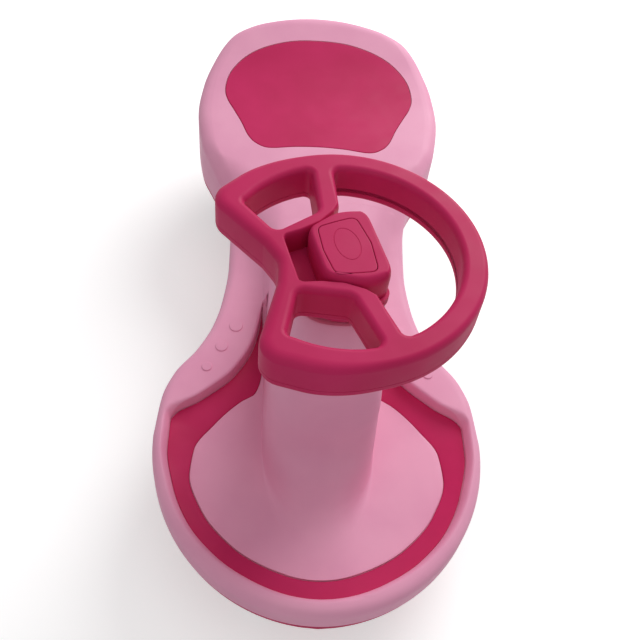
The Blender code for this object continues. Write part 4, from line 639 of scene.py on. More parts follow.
def applied(made):
    # the object with its modifiers worked out, as a plain mesh
    evaluated = made.evaluated_get(bpy.context.evaluated_depsgraph_get())
    mesh = bpy.data.meshes.new_from_object(evaluated)
    made.modifiers.clear()
    made.data = mesh
    return made


def settle(made, body, slotName, *replaced):
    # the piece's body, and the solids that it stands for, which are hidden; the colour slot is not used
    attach(made, body)
    if replaced:
        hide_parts(*replaced)


def makeBodyShell():
    # the strips of the body and the rings of the column, which meet point for point
    y = bodyStations()
    across, heights = bodyStrips(y)
    columns, stations = across.shape
    strips = np.stack((across, np.broadcast_to(y, across.shape), heights), -1)
    here = np.where((y >= columnShape["frontReach"]) & (y <= columnShape["backReach"]))[0]
    rings = columnRings(across[0][here], y[here])
    rings[0] = strips[0][here]
    ringPoints = np.stack(rings)
    points = np.concatenate((strips.reshape(-1, 3), ringPoints.reshape(-1, 3)))
    faces = np.concatenate((gridFaces(columns, stations),
                            gridFaces(len(rings), len(here), columns * stations)))
    return meshFrom("bodyShell", points, faces, "light_pink", mirror=True)


bodyShell = makeBodyShell()
print("body surface made", len(bodyShell.data.polygons))

# Steering wheel: corners are (across, along, radius) seen from above, before the wheel is turned
wheelShape = {
    "pivot": (0.0, -0.185), "turn": -74.4,
    "radius": 0.113, "bottom": 0.344, "parting": 0.351, "floor": 0.355, "top": 0.378,
    "edgeAcross": 0.0052, "edgeDown": 0.0062, "underAcross": 0.0030, "underDown": 0.0040,
    "pocketAcross": 0.0020, "pocketFade": (0.046, 0.016), "partingInset": 0.0004, "partingHeight": 0.0003,
    "notchShare": 0.5, "notchFade": (0.020, 0.030), "notchFull": 0.0055, "fullFade": (0.05, 0.45),
    "lobeStart": -0.02, "lobeShare": 0.22, "lobeFade": 0.03, "insideGap": 0.004,
    "lobe": (0.080, -0.0865, 0.014), "lobeAngle": -30.877,
    "notch": (0.023, -0.056, 0.016), "notchApex": (-0.0485, 0.026),
    "sideWindow": [(0.046, -0.009, 0.008), (0.0315, -0.048, 0.007), (0.069, -0.066, 0.007)],
    "sideRadius": 0.0945, "sideTop": -0.001, "windowRound": 0.008,
    "bigRadius": 0.0925, "spoke": (0.0905, 0.0175), "spokeRound": 0.008,
    "pocket": [(0.024, -0.0435, 0.004), (0.0265, -0.028, 0.006), (0.032, -0.011, 0.008),
               (0.0415, 0.003, 0.006), (0.049, 0.0098, 0.004)],
    "floorCorners": [(0.0372, 0.0288, 0.010), (0.042, 0.010, 0.0), (0.045, 0.009, 0.0)],
    "bossRadius": 0.036, "bossBottom": 0.330,
    "cornerSteps": 7, "outerSteps": 120, "sideSteps": 14, "windowSteps": 96,
    "wellRing": 0.1025, "wellRadius": 0.0033, "wellDepth": 0.0023,
    "wellAngles": (-30, 15, 62, 118, 165, 210),
}
hornShape = {
    "outline": [(-0.026, -0.0250, 0.010), (0.026, -0.0250, 0.010), (0.0395, 0.004, 0.018),
                (0.0365, 0.0285, 0.011), (-0.0365, 0.0285, 0.011), (-0.0395, 0.004, 0.018)],
    "button": [(-0.0230, -0.0168, 0.005), (0.0015, -0.0190, 0.0), (0.0260, -0.0168, 0.005),
               (0.0290, -0.001, 0.0), (0.0310, 0.0160, 0.005), (0.0015, 0.0194, 0.0),
               (-0.0275, 0.0160, 0.005), (-0.0257, -0.001, 0.0)],
    "sideShare": 0.58, "sideFade": (0.8, 0.2), "domePower": 0.8, "waistRise": 0.004, "waistShare": 0.4,
    "base": 0.3553, "top": 0.382, "edgeAcross": 0.0066, "edgeDown": 0.0100, "waist": 0.0010,
    "ease": 0.0040, "buttonEase": 0.0016, "groove": 0.0005, "recess": 0.0062, "buttonThick": 0.0022,
    "buttonEdge": 0.0006,
    "oval": (0.0168, 0.0098), "ovalPlace": (-0.001, 0.001), "ovalLine": 0.00042, "ovalDepth": 0.00035,
}


def roundedCorners(corners, steps):
    # an outline with an arc in place of each corner
    outline = []
    for i, (u, v, radius) in enumerate(corners):
        here = Vector((u, v))
        before = Vector(corners[i - 1][:2]) - here
        after = Vector(corners[(i + 1) % len(corners)][:2]) - here
        if radius <= 0:
            outline.append(here)
            continue
        half = before.angle(after) / 2
        reach = min(radius / math.tan(half), before.length * 0.49, after.length * 0.49)
        radius = reach * math.tan(half)
        inwards = (before.normalized() + after.normalized()).normalized()
        centre = here + inwards * (radius / math.sin(half))
        start = here + before.normalized() * reach - centre
        sweep = start.angle_signed(here + after.normalized() * reach - centre)
        outline += [centre + Matrix.Rotation(-sweep * step / steps, 2) @ start for step in range(steps + 1)]
    return np.array(outline)


def mirroredCorners(corners):
    # corners on the right with their mirror images ahead of them
    return [(-u, v, radius) for u, v, radius in reversed(corners)] + corners


def oval(width, height, count):
    # points evenly round an ellipse, the first not repeated at the end
    turns = np.radians(np.arange(count) * 360 / count)
    return np.stack((width * np.cos(turns), height * np.sin(turns)), -1)


def arcPoints(radius, first, last, count):
    turns = np.radians(np.linspace(first, last, count))
    return [(radius * math.cos(turn), radius * math.sin(turn), 0.0) for turn in turns]


def offsetLoop(loop, amount):
    # the loop moved outwards by an amount at each point; a counter-clockwise loop grows
    before, after = loop - np.roll(loop, 1, 0), np.roll(loop, -1, 0) - loop
    normals = []
    for step in (before, after):
        step = step / np.maximum(np.linalg.norm(step, axis=1), 1e-9)[:, None]
        normals.append(np.stack((step[:, 1], -step[:, 0]), -1))
    joint = normals[0] + normals[1]
    joint = joint / np.maximum(0.3, 1 + (normals[0] * normals[1]).sum(1))[:, None]
    return loop + joint * np.asarray(amount).reshape(-1, 1)


def counterClockwise(loop):
    area = (loop[:, 0] * np.roll(loop[:, 1], -1) - np.roll(loop[:, 0], -1) * loop[:, 1]).sum()
    return loop if area > 0 else loop[::-1].copy()


def wallRings(builder, loop, levels, share=1.0):
    # an upright wall: each level is (distance inwards, height), share is how much of it is taken
    loop, rings = counterClockwise(loop), []
    for inset, height in levels:
        moved = offsetLoop(loop, -inset * np.asarray(share))
        rings.append([builder.verts.new((x, y, height)) for x, y in moved])
    for lower, upper in zip(rings, rings[1:]):
        for k in range(len(lower)):
            n = (k + 1) % len(lower)
            builder.faces.new((lower[k], lower[n], upper[n], upper[k]))
    return rings


def flatCap(builder, *rings):
    # a flat face inside the first ring and outside the others
    flat = [vert for ring in rings for vert in ring]
    for corners in tessellate_polygon([[vert.co * 1000 for vert in ring] for ring in rings]):
        builder.faces.new([flat[i] for i in corners])


def plateSolid(builder, loops, levels):
    # each loop is (points, share); holes have shares below nought, so their edges round outwards
    walls = [wallRings(builder, loop, levels, share) for loop, share in loops]
    for end in (0, -1):
        flatCap(builder, *[rings[end] for rings in walls])


flatMargin = 0.0004  # a ring this far inside a rounded edge keeps the flat beyond it evenly lit


def roundedLevels(high, across, down, count=8):
    # the rounded upper edge of an upright wall
    levels = [(across * near, high - down * far) for near, far in quarterRound(count)]
    return levels + [(across + flatMargin, high)]


def builtPiece(name, builder, slotName, sharp=38):
    # a piece from a builder as it stands
    mesh = bpy.data.meshes.new(name)
    builder.to_mesh(mesh)
    builder.free()
    return pieceFrom(name, mesh, slotName, sharp)


def onWheel(name, builder, slotName, sharp=40):
    # the finished mesh turned and moved to the wheel's place on the column
    bmesh.ops.recalc_face_normals(builder, faces=builder.faces)
    turn = Matrix.Rotation(math.radians(wheelShape["turn"]), 4, "Z")
    place = Matrix.Translation((wheelShape["pivot"][0], wheelShape["pivot"][1], 0))
    bmesh.ops.transform(builder, matrix=place @ turn, verts=builder.verts)
    return builtPiece(name, builder, slotName, sharp)


def wheelLoops():
    # outlines seen from above: outer edge, small windows, big window with the pocket, and the pocket's floor
    shape, steps = wheelShape, wheelShape["cornerSteps"]
    first, last = shape["lobeAngle"], 180 - shape["lobeAngle"]
    lobe, notch = shape["lobe"], shape["notch"]
    corners = arcPoints(shape["radius"], first, last, shape["outerSteps"])
    corners += [(-lobe[0], lobe[1], lobe[2]), (-notch[0], notch[1], notch[2]),
                (0.0, shape["notchApex"][0], shape["notchApex"][1]), notch, lobe]
    outer = counterClockwise(roundedCorners(corners, steps))
    facing = np.roll(outer, -1, 0) - np.roll(outer, 1, 0)
    facing = facing[:, 0] / np.linalg.norm(facing, axis=1)
    fadeStart, fade = shape["fullFade"]
    full = shape["notchFull"] * np.clip((facing - fadeStart) / fade, 0, 1) * (outer[:, 1] < 0)
    full = sum(np.roll(full, k) for k in (-2, -1, 0, 1, 2)) / 5

    topAngle = math.degrees(math.asin(shape["sideTop"] / shape["sideRadius"]))
    lowCorner = shape["sideWindow"][-1]
    lowAngle = math.degrees(math.atan2(lowCorner[1], lowCorner[0]))
    topPoint = arcPoints(shape["sideRadius"], topAngle, topAngle, 1)[0]
    corners = [(topPoint[0], topPoint[1], shape["windowRound"])] + shape["sideWindow"]
    corners += arcPoints(shape["sideRadius"], lowAngle + 4, topAngle - 8, shape["sideSteps"])
    side = roundedCorners(corners, steps)
    mirrorSide = side[::-1] * (-1, 1)

    start = math.degrees(math.atan2(shape["spoke"][1], shape["spoke"][0]))
    arc = arcPoints(shape["bigRadius"], start + 7, 180 - start - 7, shape["windowSteps"])
    spoke = [(*shape["spoke"], shape["spokeRound"])]
    window = roundedCorners(mirroredCorners(shape["pocket"] + spoke) + arc, steps)
    fadeStart, fade = shape["pocketFade"]
    soft = np.clip((np.abs(window[:, 0]) - fadeStart) / fade, 0, 1)
    soft = np.where(window[:, 1] > 0.03, 1.0, soft)
    shares = shape["pocketAcross"] / shape["edgeAcross"] * (1 - soft) + soft
    floorEdge = roundedCorners(mirroredCorners(shape["floorCorners"] + spoke) + arc, steps)
    return outer, full, side, mirrorSide, window, shares, floorEdge


def makeSteeringWheel():
    # how much of its rounded edge each place of the outer wall takes, and how much fuller it is
    shape = wheelShape
    outer, full, side, mirrorSide, window, shares, floorEdge = wheelLoops()
    fadeStart, fade = shape["notchFade"]
    notch = np.clip((np.abs(outer[:, 0]) - fadeStart) / fade, 0, 1)
    lobes = 1 - shape["lobeShare"] * np.clip((shape["lobeStart"] - outer[:, 1]) / shape["lobeFade"], 0, 1)
    ahead = outer[:, 1] < shape["lobeStart"]
    narrow = np.where(ahead, shape["notchShare"] * (1 - notch) + lobes * notch, 1.0)
    outer, topShare = offsetLoop(outer, full), narrow + full / shape["edgeAcross"]
    parting, inset, height = shape["parting"], shape["partingInset"], shape["partingHeight"]

    # upper shell, and inside it the web that is the pocket's floor
    levels = [(inset, parting), (0.0, parting + height)]
    levels += roundedLevels(shape["top"], shape["edgeAcross"], shape["edgeDown"])
    upper = bmesh.new()
    plateSolid(upper, [(outer, topShare), (side, -1.0), (mirrorSide, -1.0), (window, -shares)], levels)
    gap = shape["insideGap"]
    inside = [(offsetLoop(counterClockwise(outer), -gap), 0.0), (floorEdge, 0.0)]
    inside += [(offsetLoop(counterClockwise(loop), gap), 0.0) for loop in (side, mirrorSide)]
    plateSolid(upper, inside, [(0.0, parting + 0.0002), (0.0, shape["floor"])])

    # lower shell, with the screws' wells and the boss that sits on the column
    lower, wells = bmesh.new(), []
    bottom, bossBottom = shape["bottom"], shape["bossBottom"]
    across, down = shape["underAcross"], shape["underDown"]
    levels = [(across + flatMargin, bottom)]
    levels += [(across * near, bottom + down * far) for near, far in reversed(quarterRound(4))]
    levels += [(0.0, parting - height), (inset, parting - 0.0001)]
    walls = [wallRings(lower, loop, levels, share) for loop, share in
             ((outer, narrow), (side, -1.0), (mirrorSide, -1.0), (floorEdge, -1.0))]
    for degrees in shape["wellAngles"]:
        turn, around = math.radians(degrees), oval(shape["wellRadius"], shape["wellRadius"], 32)
        centre = (shape["wellRing"] * math.cos(turn), shape["wellRing"] * math.sin(turn))
        wells.append(wallRings(lower, around + centre, [(0.0, bottom), (0.0, bottom + shape["wellDepth"])]))
        flatCap(lower, wells[-1][-1])
    flatCap(lower, *[rings[0] for rings in walls], *[rings[0] for rings in wells])
    flatCap(lower, *[rings[-1] for rings in walls])
    boss = oval(shape["bossRadius"], shape["bossRadius"], 72)
    plateSolid(lower, [(boss, 1.0)], [
        (0.0016, bossBottom), (0.0012, bossBottom), (0.0003, bossBottom + 0.0004), (0.0, bossBottom + 0.0012),
        (0.0, bottom + 0.003)])
    return onWheel("wheelUpperShell", upper, "dark_pink"), onWheel("wheelLowerShell", lower, "dark_pink")


def softened(loop, spread, count=220):
    # the loop evenly spaced and its corners eased, then grown back by what the easing took
    loop = counterClockwise(loop)
    ends = np.concatenate((loop, loop[:1]))
    length = np.concatenate(([0], np.cumsum(np.linalg.norm(np.diff(ends, axis=0), axis=1))))
    wanted = np.linspace(0, length[-1], count, endpoint=False)
    even = np.stack([np.interp(wanted, length, ends[:, k]) for k in (0, 1)], -1)
    place = np.minimum(np.arange(count), count - np.arange(count)) * length[-1] / count
    weight = np.exp(-0.5 * (place / spread)**2)
    weight = np.fft.fft(weight / weight.sum())
    soft = np.stack([np.real(np.fft.ifft(np.fft.fft(even[:, k]) * weight)) for k in (0, 1)], -1)
    return offsetLoop(soft, np.abs(even - soft).mean())


def makeHorn():
    # the pad with an opening in its top, and the panel in it with an engraved oval
    shape = hornShape
    outline = softened(roundedCorners(shape["outline"], 8), shape["ease"])
    button = softened(roundedCorners(shape["button"], 8), shape["buttonEase"])
    top, deep, under = shape["top"], shape["top"] - shape["recess"], shape["top"] - shape["buttonThick"]
    across, down = shape["edgeAcross"], shape["edgeDown"]
    levels = [(shape["waist"], shape["base"])]
    levels.append((shape["waist"] * shape["waistShare"], shape["base"] + shape["waistRise"]))
    levels += [(across * (1 - (1 - near)**shape["domePower"]), top - down * far)
               for near, far in quarterRound(14)]
    levels.append((across + flatMargin, top))
    builder = bmesh.new()
    facing = (offsetLoop(outline, 0.001) - outline) / 0.001
    fadeStart, fade = shape["sideFade"]
    sideways = np.clip((np.abs(facing[:, 0]) - fadeStart) / fade, 0, 1)
    share = shape["sideShare"] + (1 - shape["sideShare"]) * sideways
    outer = wallRings(builder, outline, levels, np.minimum(1.0, share))
    opening = wallRings(builder, offsetLoop(button, shape["groove"]), [
        (0.0, deep), (0.0, top - 0.0005), (-0.00015, top - 0.00015), (-0.0005, top), (-0.0007, top)])
    flatCap(builder, outer[-1], opening[-1])
    flatCap(builder, outer[0])
    flatCap(builder, opening[0])
    housing = onWheel("hornHousing", builder, "dark_pink")

    builder = bmesh.new()
    mark = oval(*shape["oval"], 90) + shape["ovalPlace"]
    line, depth, edge = shape["ovalLine"], shape["ovalDepth"], shape["buttonEdge"]
    outer = wallRings(builder, button, [(0.0, under), (0.0, top - edge), (edge * 0.3, top - edge * 0.3),
                                        (edge, top), (edge + 0.0002, top)])
    groove = wallRings(builder, mark, [(-line - 0.0002, top), (-line, top), (-line * 0.4, top - depth),
                                       (line * 0.4, top - depth), (line, top), (line + 0.0002, top)])
    flatCap(builder, outer[0])
    flatCap(builder, outer[-1], groove[0])
    flatCap(builder, groove[-1])
    return housing, onWheel("hornButton", builder, "dark_pink")


wheelUpper, wheelLower = makeSteeringWheel()
settle(wheelUpper, "steering", "dark_pink", "wheel_upper_shell")
settle(wheelLower, "steering", "dark_pink", "wheel_lower_shell")
hornHousing, hornButton = makeHorn()
settle(hornHousing, "steering", "dark_pink", "horn_housing")
settle(hornButton, "horn", "dark_pink", "horn_button")
print("steering wheel made")

# Foot band: the dark inlay that runs round the floor plate, set just below it
bandShape = {
    "thickness": 0.0015, "gap": 0.0008, "end": -0.0335,
    "frontCount": 110, "backCount": 100, "acrossCount": 11, "margin": 0.06,
    # the rounded edge: (distance in from the side, drop below the top)
    "profile": [(0.0, 0.0014), (0.0, 0.0006), (0.00015, 0.00025), (0.0004, 0.00006), (0.0008, 0.0)],
}


def curveBetween(half, front, split, end, frontCount, backCount, dense=700):
    # evenly spaced points from the middle of the front, round the side and to the band's tip
    turn = np.linspace(0, math.pi / 2, dense)
    ahead = split - (split - front) * np.cos(turn)
    places = np.concatenate((ahead, np.linspace(split, end, dense)[1:]))
    curve = np.stack((half(places), places), -1)
    length = np.concatenate(([0], np.cumsum(np.linalg.norm(np.diff(curve, axis=0), axis=1))))
    cut = length[dense - 1]
    wanted = np.concatenate((np.linspace(0, cut, frontCount), np.linspace(cut, length[-1], backCount)[1:]))
    return np.stack([np.interp(wanted, length, curve[:, k]) for k in (0, 1)], -1)


def makeFootBand():
    # flat on top with rounded sides, set in from both edges of its recess by the gap
    shape = bandShape
    ends = (bodyShape["dishCentre"], shape["end"], shape["frontCount"], shape["backCount"])
    sides = []
    for half, front, amount in ((bandInnerHalf, bodyShape["bandInnerFront"], shape["gap"]),
                                (bandOuterHalf, bodyShape["bandFront"], -shape["gap"])):
        curve = curveBetween(half, front, *ends)
        step = np.gradient(curve, axis=0)
        step[0] = (1.0, 0.0)
        step = step / np.linalg.norm(step, axis=1)[:, None]
        sides.append(curve + np.stack((step[:, 1], -step[:, 0]), -1) * amount)
    inner, outer = sides
    inner[0, 0] = outer[0, 0] = 0.0
    width = np.linalg.norm(outer - inner, axis=1)
    edge = [(np.minimum(0.45, distance / np.maximum(width, 1e-4)), drop)
            for distance, drop in shape["profile"]]
    flat, margin = np.linspace(0, 1, shape["acrossCount"] + 2)[1:-1], shape["margin"]
    rows = edge + [(margin + (1 - 2 * margin) * share * np.ones(len(inner)), 0.0) for share in flat]
    rows += [(1 - share, drop) for share, drop in reversed(edge)]
    points = []
    for share, drop in rows:
        place = inner + (outer - inner) * share[:, None]
        level = bandSurface(place[:, 0], place[:, 1]) - bodyShape["insertDepth"] + shape["thickness"]
        points.append(np.column_stack((place, level - drop)))
    points += [(points[-1] + points[0]) / 2, points[0]]
    faces = gridFaces(len(points), len(inner))
    band = meshFrom("footBand", np.stack(points), faces, "dark_pink", mirror=True)
    builder = bmesh.new()
    builder.from_mesh(band.data)
    bmesh.ops.holes_fill(builder, edges=[edge for edge in builder.edges if edge.is_boundary])
    bmesh.ops.recalc_face_normals(builder, faces=builder.faces)
    builder.to_mesh(band.data)
    builder.free()
    return band


settle(makeFootBand(), "body", "dark_pink", "foot_band")
print("foot band made")

# Seat pad: a thin soft-edged inlay in a shallow recess of the seat
padShape = {
    "outline": [(0.0, 0.173), (0.030, 0.1715), (0.061, 0.1675), (0.077, 0.174), (0.0875, 0.187),
                (0.0965, 0.2085), (0.1065, 0.2285), (0.116, 0.247), (0.1195, 0.264), (0.1155, 0.287),
                (0.1035, 0.307), (0.086, 0.3225), (0.062, 0.334), (0.033, 0.3415), (0.0, 0.3435)],
    "gap": 0.0008, "recess": 0.0022, "lift": 0.0002, "proud": 0.0001, "edge": 0.0009, "centre": (0.0, 0.255),
    "shares": (1.0, 0.93, 0.85, 0.76, 0.66, 0.56, 0.46, 0.36, 0.26, 0.16, 0.07, 0.0), "cutterTop": 0.260,
}


def padLoop(amount, steps=10):
    # the pad's outline as a smooth closed curve, moved in or out
    right = np.array(padShape["outline"])
    knots = np.concatenate((right, right[::-1][1:-1] * (-1, 1)))
    before, after = np.roll(knots, 1, 0), np.roll(knots, -1, 0)
    tangent = (after - before) / 2
    loop = []
    for k in range(len(knots)):
        n = (k + 1) % len(knots)
        loop += [hermite(t, knots[k], tangent[k], knots[n], tangent[n]) for t in np.arange(steps) / steps]
    return offsetLoop(counterClockwise(np.array(loop)), amount)


def ringStack(rings):
    # a closed solid from rings of equal length, the first and last narrowed to a point
    points, faces, count = np.concatenate(rings), [], len(rings[0])
    for level in range(len(rings) - 1):
        for k in range(count):
            n = (k + 1) % count
            low, high = level * count, (level + 1) * count
            faces.append((low + k, low + n, high + n, high + k))
    return points, np.array(faces)


def seatHeight(place):
    return spineHeight(np.abs(place[:, 0]), place[:, 1])


def makeSeatPad():
    # rings from the middle of its underside, round its edge and in over its top
    shape = padShape
    centre = np.array(shape["centre"])
    edge, rings = padLoop(0.0), []
    for share in (0.0, 0.5, 1.0):
        place = centre + (edge - centre) * share
        rings.append(np.column_stack((place, seatHeight(place) - shape["recess"] + shape["lift"])))
    for near, far in quarterRound(5):
        place = padLoop(-shape["edge"] * near)
        rings.append(np.column_stack((place, seatHeight(place) + (shape["proud"] - shape["edge"] * far))))
    inside = padLoop(-shape["edge"] * 1.3)
    for share in shape["shares"]:
        place = centre + (inside - centre) * share
        rings.append(np.column_stack((place, seatHeight(place) + shape["proud"])))
    return meshFrom("seatPad", *ringStack(rings), "dark_pink")


def makePadCutter():
    # what the seat's recess takes out of the body, with a gap round the pad
    centre = np.array(padShape["centre"])
    edge = padLoop(padShape["gap"])
    rings = []
    for share in (0.0, 0.25, 0.5, 0.75, 1.0):
        place = centre + (edge - centre) * share
        rings.append(np.column_stack((place, seatHeight(place) - padShape["recess"])))
    top = np.full(len(edge), padShape["cutterTop"])
    rings += [np.column_stack((edge, top)), np.column_stack((np.tile(centre, (len(edge), 1)), top))]
    return meshFrom("padCutter", *ringStack(rings), "light_pink")


def finishBody():
    # thickness for the shell, then the seat's recess
    wall = bodyShell.modifiers.new("wall", "SOLIDIFY")
    wall.thickness, wall.offset = bodyShape["wall"], -1.0
    applied(bodyShell)
    cutter = makePadCutter()
    recess = bodyShell.modifiers.new("recess", "BOOLEAN")
    recess.object, recess.operation, recess.solver = cutter, "DIFFERENCE", "EXACT"
    applied(bodyShell)
    bpy.data.objects.remove(cutter)
    bodyShell.data.set_sharp_from_angle(angle=math.radians(38))


finishBody()
settle(bodyShell, "body", "light_pink", "body_shell")
settle(makeSeatPad(), "body", "dark_pink", "seat_pad")

# Three raised discs on each wing: place across, along, and diameter
discShape = {
    "places": [(0.090, -0.066, 0.0147), (0.104, -0.094, 0.0132), (0.118, -0.121, 0.0110)],
    "rise": 0.0011, "sunk": 0.0010, "edge": 0.0007,
}


def makeDiscs():
    # the discs follow the wings' slope and start just inside them
    top, sunk, edge = discShape["rise"], discShape["sunk"], discShape["edge"]
    # share of the radius, height above the wing, distance set in
    profile = [(0.0, -sunk, 0.0), (1.0, -sunk, 0.0), (1.0, -0.0001, 0.0), (1.0, top - edge, 0.0)]
    profile += [(1.0, top - edge * far, edge * near) for near, far in quarterRound(4)[1:]]
    profile += [(share, top, 0.0) for share in (0.7, 0.4, 0.0)]
    around, points, faces = oval(1, 1, 60), [], []
    for side in (1, -1):
        for x, y, diameter in discShape["places"]:
            rings = []
            for share, rise, inset in profile:
                place = np.array((x, y)) + around * (diameter / 2 * share - inset)
                rings.append(np.column_stack((place, rimHeight(place[:, 0], place[:, 1]) + rise)))
            ringPoints, ringFaces = ringStack(rings)
            ringPoints[:, 0] *= side
            faces.append(ringFaces + sum(len(group) for group in points))
            points.append(ringPoints)
    return meshFrom("wingDiscs", np.concatenate(points), np.concatenate(faces), "light_pink")


settle(makeDiscs(), "body", "light_pink")
print("seat pad and discs made", len(bodyShell.data.polygons))

# Lower shell: its edge sits just inside the body's lip, with a keel under the seat
chassisShape = {
    "inset": 0.0012, "edge": 0.0055, "underside": 0.0805, "keelStart": -0.060, "lipGap": 0.0003,
    "keelRound": 0.006, "wall": 0.0022,
    "keel": [(-0.060, 0.096), (-0.020, 0.084), (0.050, 0.079), (0.310, 0.079), (0.350, 0.064)],
    "depth": [(-0.060, 0.0), (-0.010, 0.009), (0.060, 0.038), (0.130, 0.070), (0.300, 0.071), (0.345, 0.040),
              (0.360, 0.0)],
    "shelf": [(-0.060, 0.0805), (0.0, 0.0845), (0.060, 0.094), (0.130, 0.104), (0.310, 0.105),
              (0.382, 0.120)],
    "foot": 0.004, "rollerPlace": (0.055, -0.325, 0.025), "rollerHalf": 0.008,
    "earGap": 0.001, "earWall": 0.003, "earHalf": 0.011, "earLift": 0.002,
    "axleBoss": (0.235, 0.050, 0.011, 0.0015),
}


def lathed(builder, profile, start, axis, sides=72):
    # a body turned about a line along X or Z; the profile is (radius, distance along the line)
    rings = []
    for radius, distance in profile:
        ring = []
        for k in range(sides):
            turn = 2 * math.pi * k / sides
            a, b = max(radius, 1e-6) * math.cos(turn), max(radius, 1e-6) * math.sin(turn)
            place = (distance, a, b) if axis == "X" else (a, b, distance)
            ring.append(builder.verts.new(Vector(start) + Vector(place)))
        rings.append(ring)
    for lower, upper in zip(rings, rings[1:]):
        for k in range(sides):
            n = (k + 1) % sides
            builder.faces.new((lower[k], lower[n], upper[n], upper[k]))
    return rings


def cleanPiece(name, builder, slotName, weld=3e-6):
    # a piece from a builder, its doubles merged and its faces outwards
    bmesh.ops.remove_doubles(builder, verts=builder.verts, dist=weld)
    bmesh.ops.dissolve_degenerate(builder, edges=builder.edges, dist=weld)
    bmesh.ops.recalc_face_normals(builder, faces=builder.faces)
    return builtPiece(name, builder, slotName)


def makeChassis():
    # cross-sections from the middle out to the edge, thickened inwards, then ears and bosses
    shape = chassisShape
    places = bodyStations()
    places = places[np.concatenate(([True], np.diff(places) > 0.0004))]
    scale = 1 - shape["inset"] / bodyShape["dishHalf"]
    width, y = outlineHalf(places) * scale, places * (1 - shape["inset"] / bodyShape["rear"])
    flat = np.maximum(0.0, width - shape["edge"])
    behind = y >= shape["keelStart"]
    shelf = np.where(behind, along(shape["shelf"], y), shape["underside"])
    depth = np.where(behind, along(shape["depth"], y), 0.0)
    keel = np.where(behind, np.minimum(flat * 0.98, along(shape["keel"], y)), flat * 0.6)
    low, lip = shelf - depth, along(bodyShape["lip"], y) - shape["lipGap"]
    corner = np.minimum(shape["keelRound"], np.minimum(depth * 0.45, keel * 0.4))
    # from the middle: keel's bottom, its rounded edge and side, its foot, the shelf and the outer edge
    strips = [(keel * share * 0.9, low) for share in (0.0, 0.25, 0.5, 0.75)]
    strips += [(keel - corner * far, low + corner * near) for near, far in quarterRound(6)]
    foot = np.minimum(shape["foot"], depth * 0.4)
    strips += [(keel, low + (depth - foot - corner) * share + corner) for share in (0.5, 1.0)]
    room = np.maximum(0.0, flat - keel)
    strips += [(keel + np.minimum(foot * near, room), shelf - foot * far)
               for near, far in quarterRound(4)[1:]]
    start = keel + np.minimum(foot, room)
    strips += [(start + (flat - start) * share, shelf) for share in (0.25, 0.5, 0.75, 1.0)]
    strips += [(flat + (width - flat) * (1 - far), shelf + shape["edge"] * near)
               for near, far in quarterRound(7)[1:]]
    strips += [(width, lip)]
    rows = [np.column_stack((x, y, z)) for x, z in strips]
    chassis = meshFrom("chassisShell", np.stack(rows), gridFaces(len(rows), len(y)), "dark_pink", 3e-6, True)
    builder = bmesh.new()
    builder.from_mesh(chassis.data)
    if min(builder.faces, key=lambda face: face.calc_center_median().z).normal.z > 0:  # the lowest faces up
        bmesh.ops.reverse_faces(builder, faces=builder.faces)
    builder.to_mesh(chassis.data)
    builder.free()
    wall = chassis.modifiers.new("wall", "SOLIDIFY")
    wall.thickness, wall.offset = shape["wall"], -1.0
    applied(chassis)

    # ears that hold the roller pins, and bosses round the rear axle's ends
    builder = bmesh.new()
    builder.from_mesh(chassis.data)
    top, reach, half = shape["underside"] + shape["earLift"], shape["earHalf"], shape["earWall"] / 2
    x, pinY, pinZ = shape["rollerPlace"]
    outline = [(pinY + u, pinZ + v) for u, v, w in arcPoints(reach, 180, 360, 33)]
    outline += [(pinY + reach, top), (pinY - reach, top)]
    edge = [(0.0, half - 0.0007), (0.0002, half - 0.0002), (0.0007, half), (0.0011, half)]
    levels = [(inset, -distance) for inset, distance in reversed(edge)] + edge
    bossY, bossZ, bossRadius, proud = shape["axleBoss"]
    keelSide = float(along(shape["keel"], bossY))
    boss = [(0.0, -0.010), (bossRadius + 0.004, -0.004), (bossRadius + 0.0012, -0.0002), (bossRadius, 0.0006),
            (bossRadius - 0.0002, proud - 0.0003), (bossRadius - 0.0006, proud), (0.0, proud)]
    for side in (1, -1):
        for hand in (1, -1):
            inner = side * x + hand * (shape["rollerHalf"] + shape["earGap"])
            centre = inner + hand * half
            first = len(builder.verts)
            plateSolid(builder, [(np.array(outline), 1.0)], levels)
            builder.verts.ensure_lookup_table()
            for vert in list(builder.verts)[first:]:
                u, v, w = vert.co
                vert.co = (centre + w, u, v)
        profile = [(radius, side * (keelSide + distance)) for radius, distance in boss]
        lathed(builder, profile, (0.0, bossY, bossZ), "X")
    chassis.data = bpy.data.meshes.new("chassisShell")
    bmesh.ops.remove_doubles(builder, verts=builder.verts, dist=3e-6)
    bmesh.ops.recalc_face_normals(builder, faces=builder.faces)
    builder.to_mesh(chassis.data)
    builder.free()
    chassis.data.materials.append(materials["dark_pink"])
    smoothed(chassis.data)
    return chassis


settle(makeChassis(), "body", "dark_pink", "chassis_shell")
print("lower shell made")

# Wheels: sizes as in the solids, tread blocks and hub ribs set out by one node group
wheelSets = {
    "front": {"place": (0.0, -0.045, 0.038), "across": 0.054, "radius": 0.038, "width": 0.028,
              "axle": 0.004, "blocks": 44, "ribs": 7, "carrier": "steering"},
    "rear": {"place": (0.0, 0.235, 0.050), "across": 0.1015, "radius": 0.050, "width": 0.032,
             "axle": 0.005, "blocks": 56, "ribs": 8, "carrier": "body"},
}
tyreShape = {"thickness": 0.007, "shoulder": 0.0045, "blockRise": 0.0007, "blockGap": 0.0011,
             "hubWall": 0.005, "web": 0.006, "ribWidth": 0.0022, "capLength": 0.010, "capRadius": 0.009,
             "boreGap": 0.0003, "capGap": 0.0005, "capDome": 0.0035, "capNarrow": 0.34}
rollerShape = {"place": (0.055, -0.325, 0.025), "radius": 0.020, "width": 0.016, "edge": 0.0028,
               "bore": 0.0033}


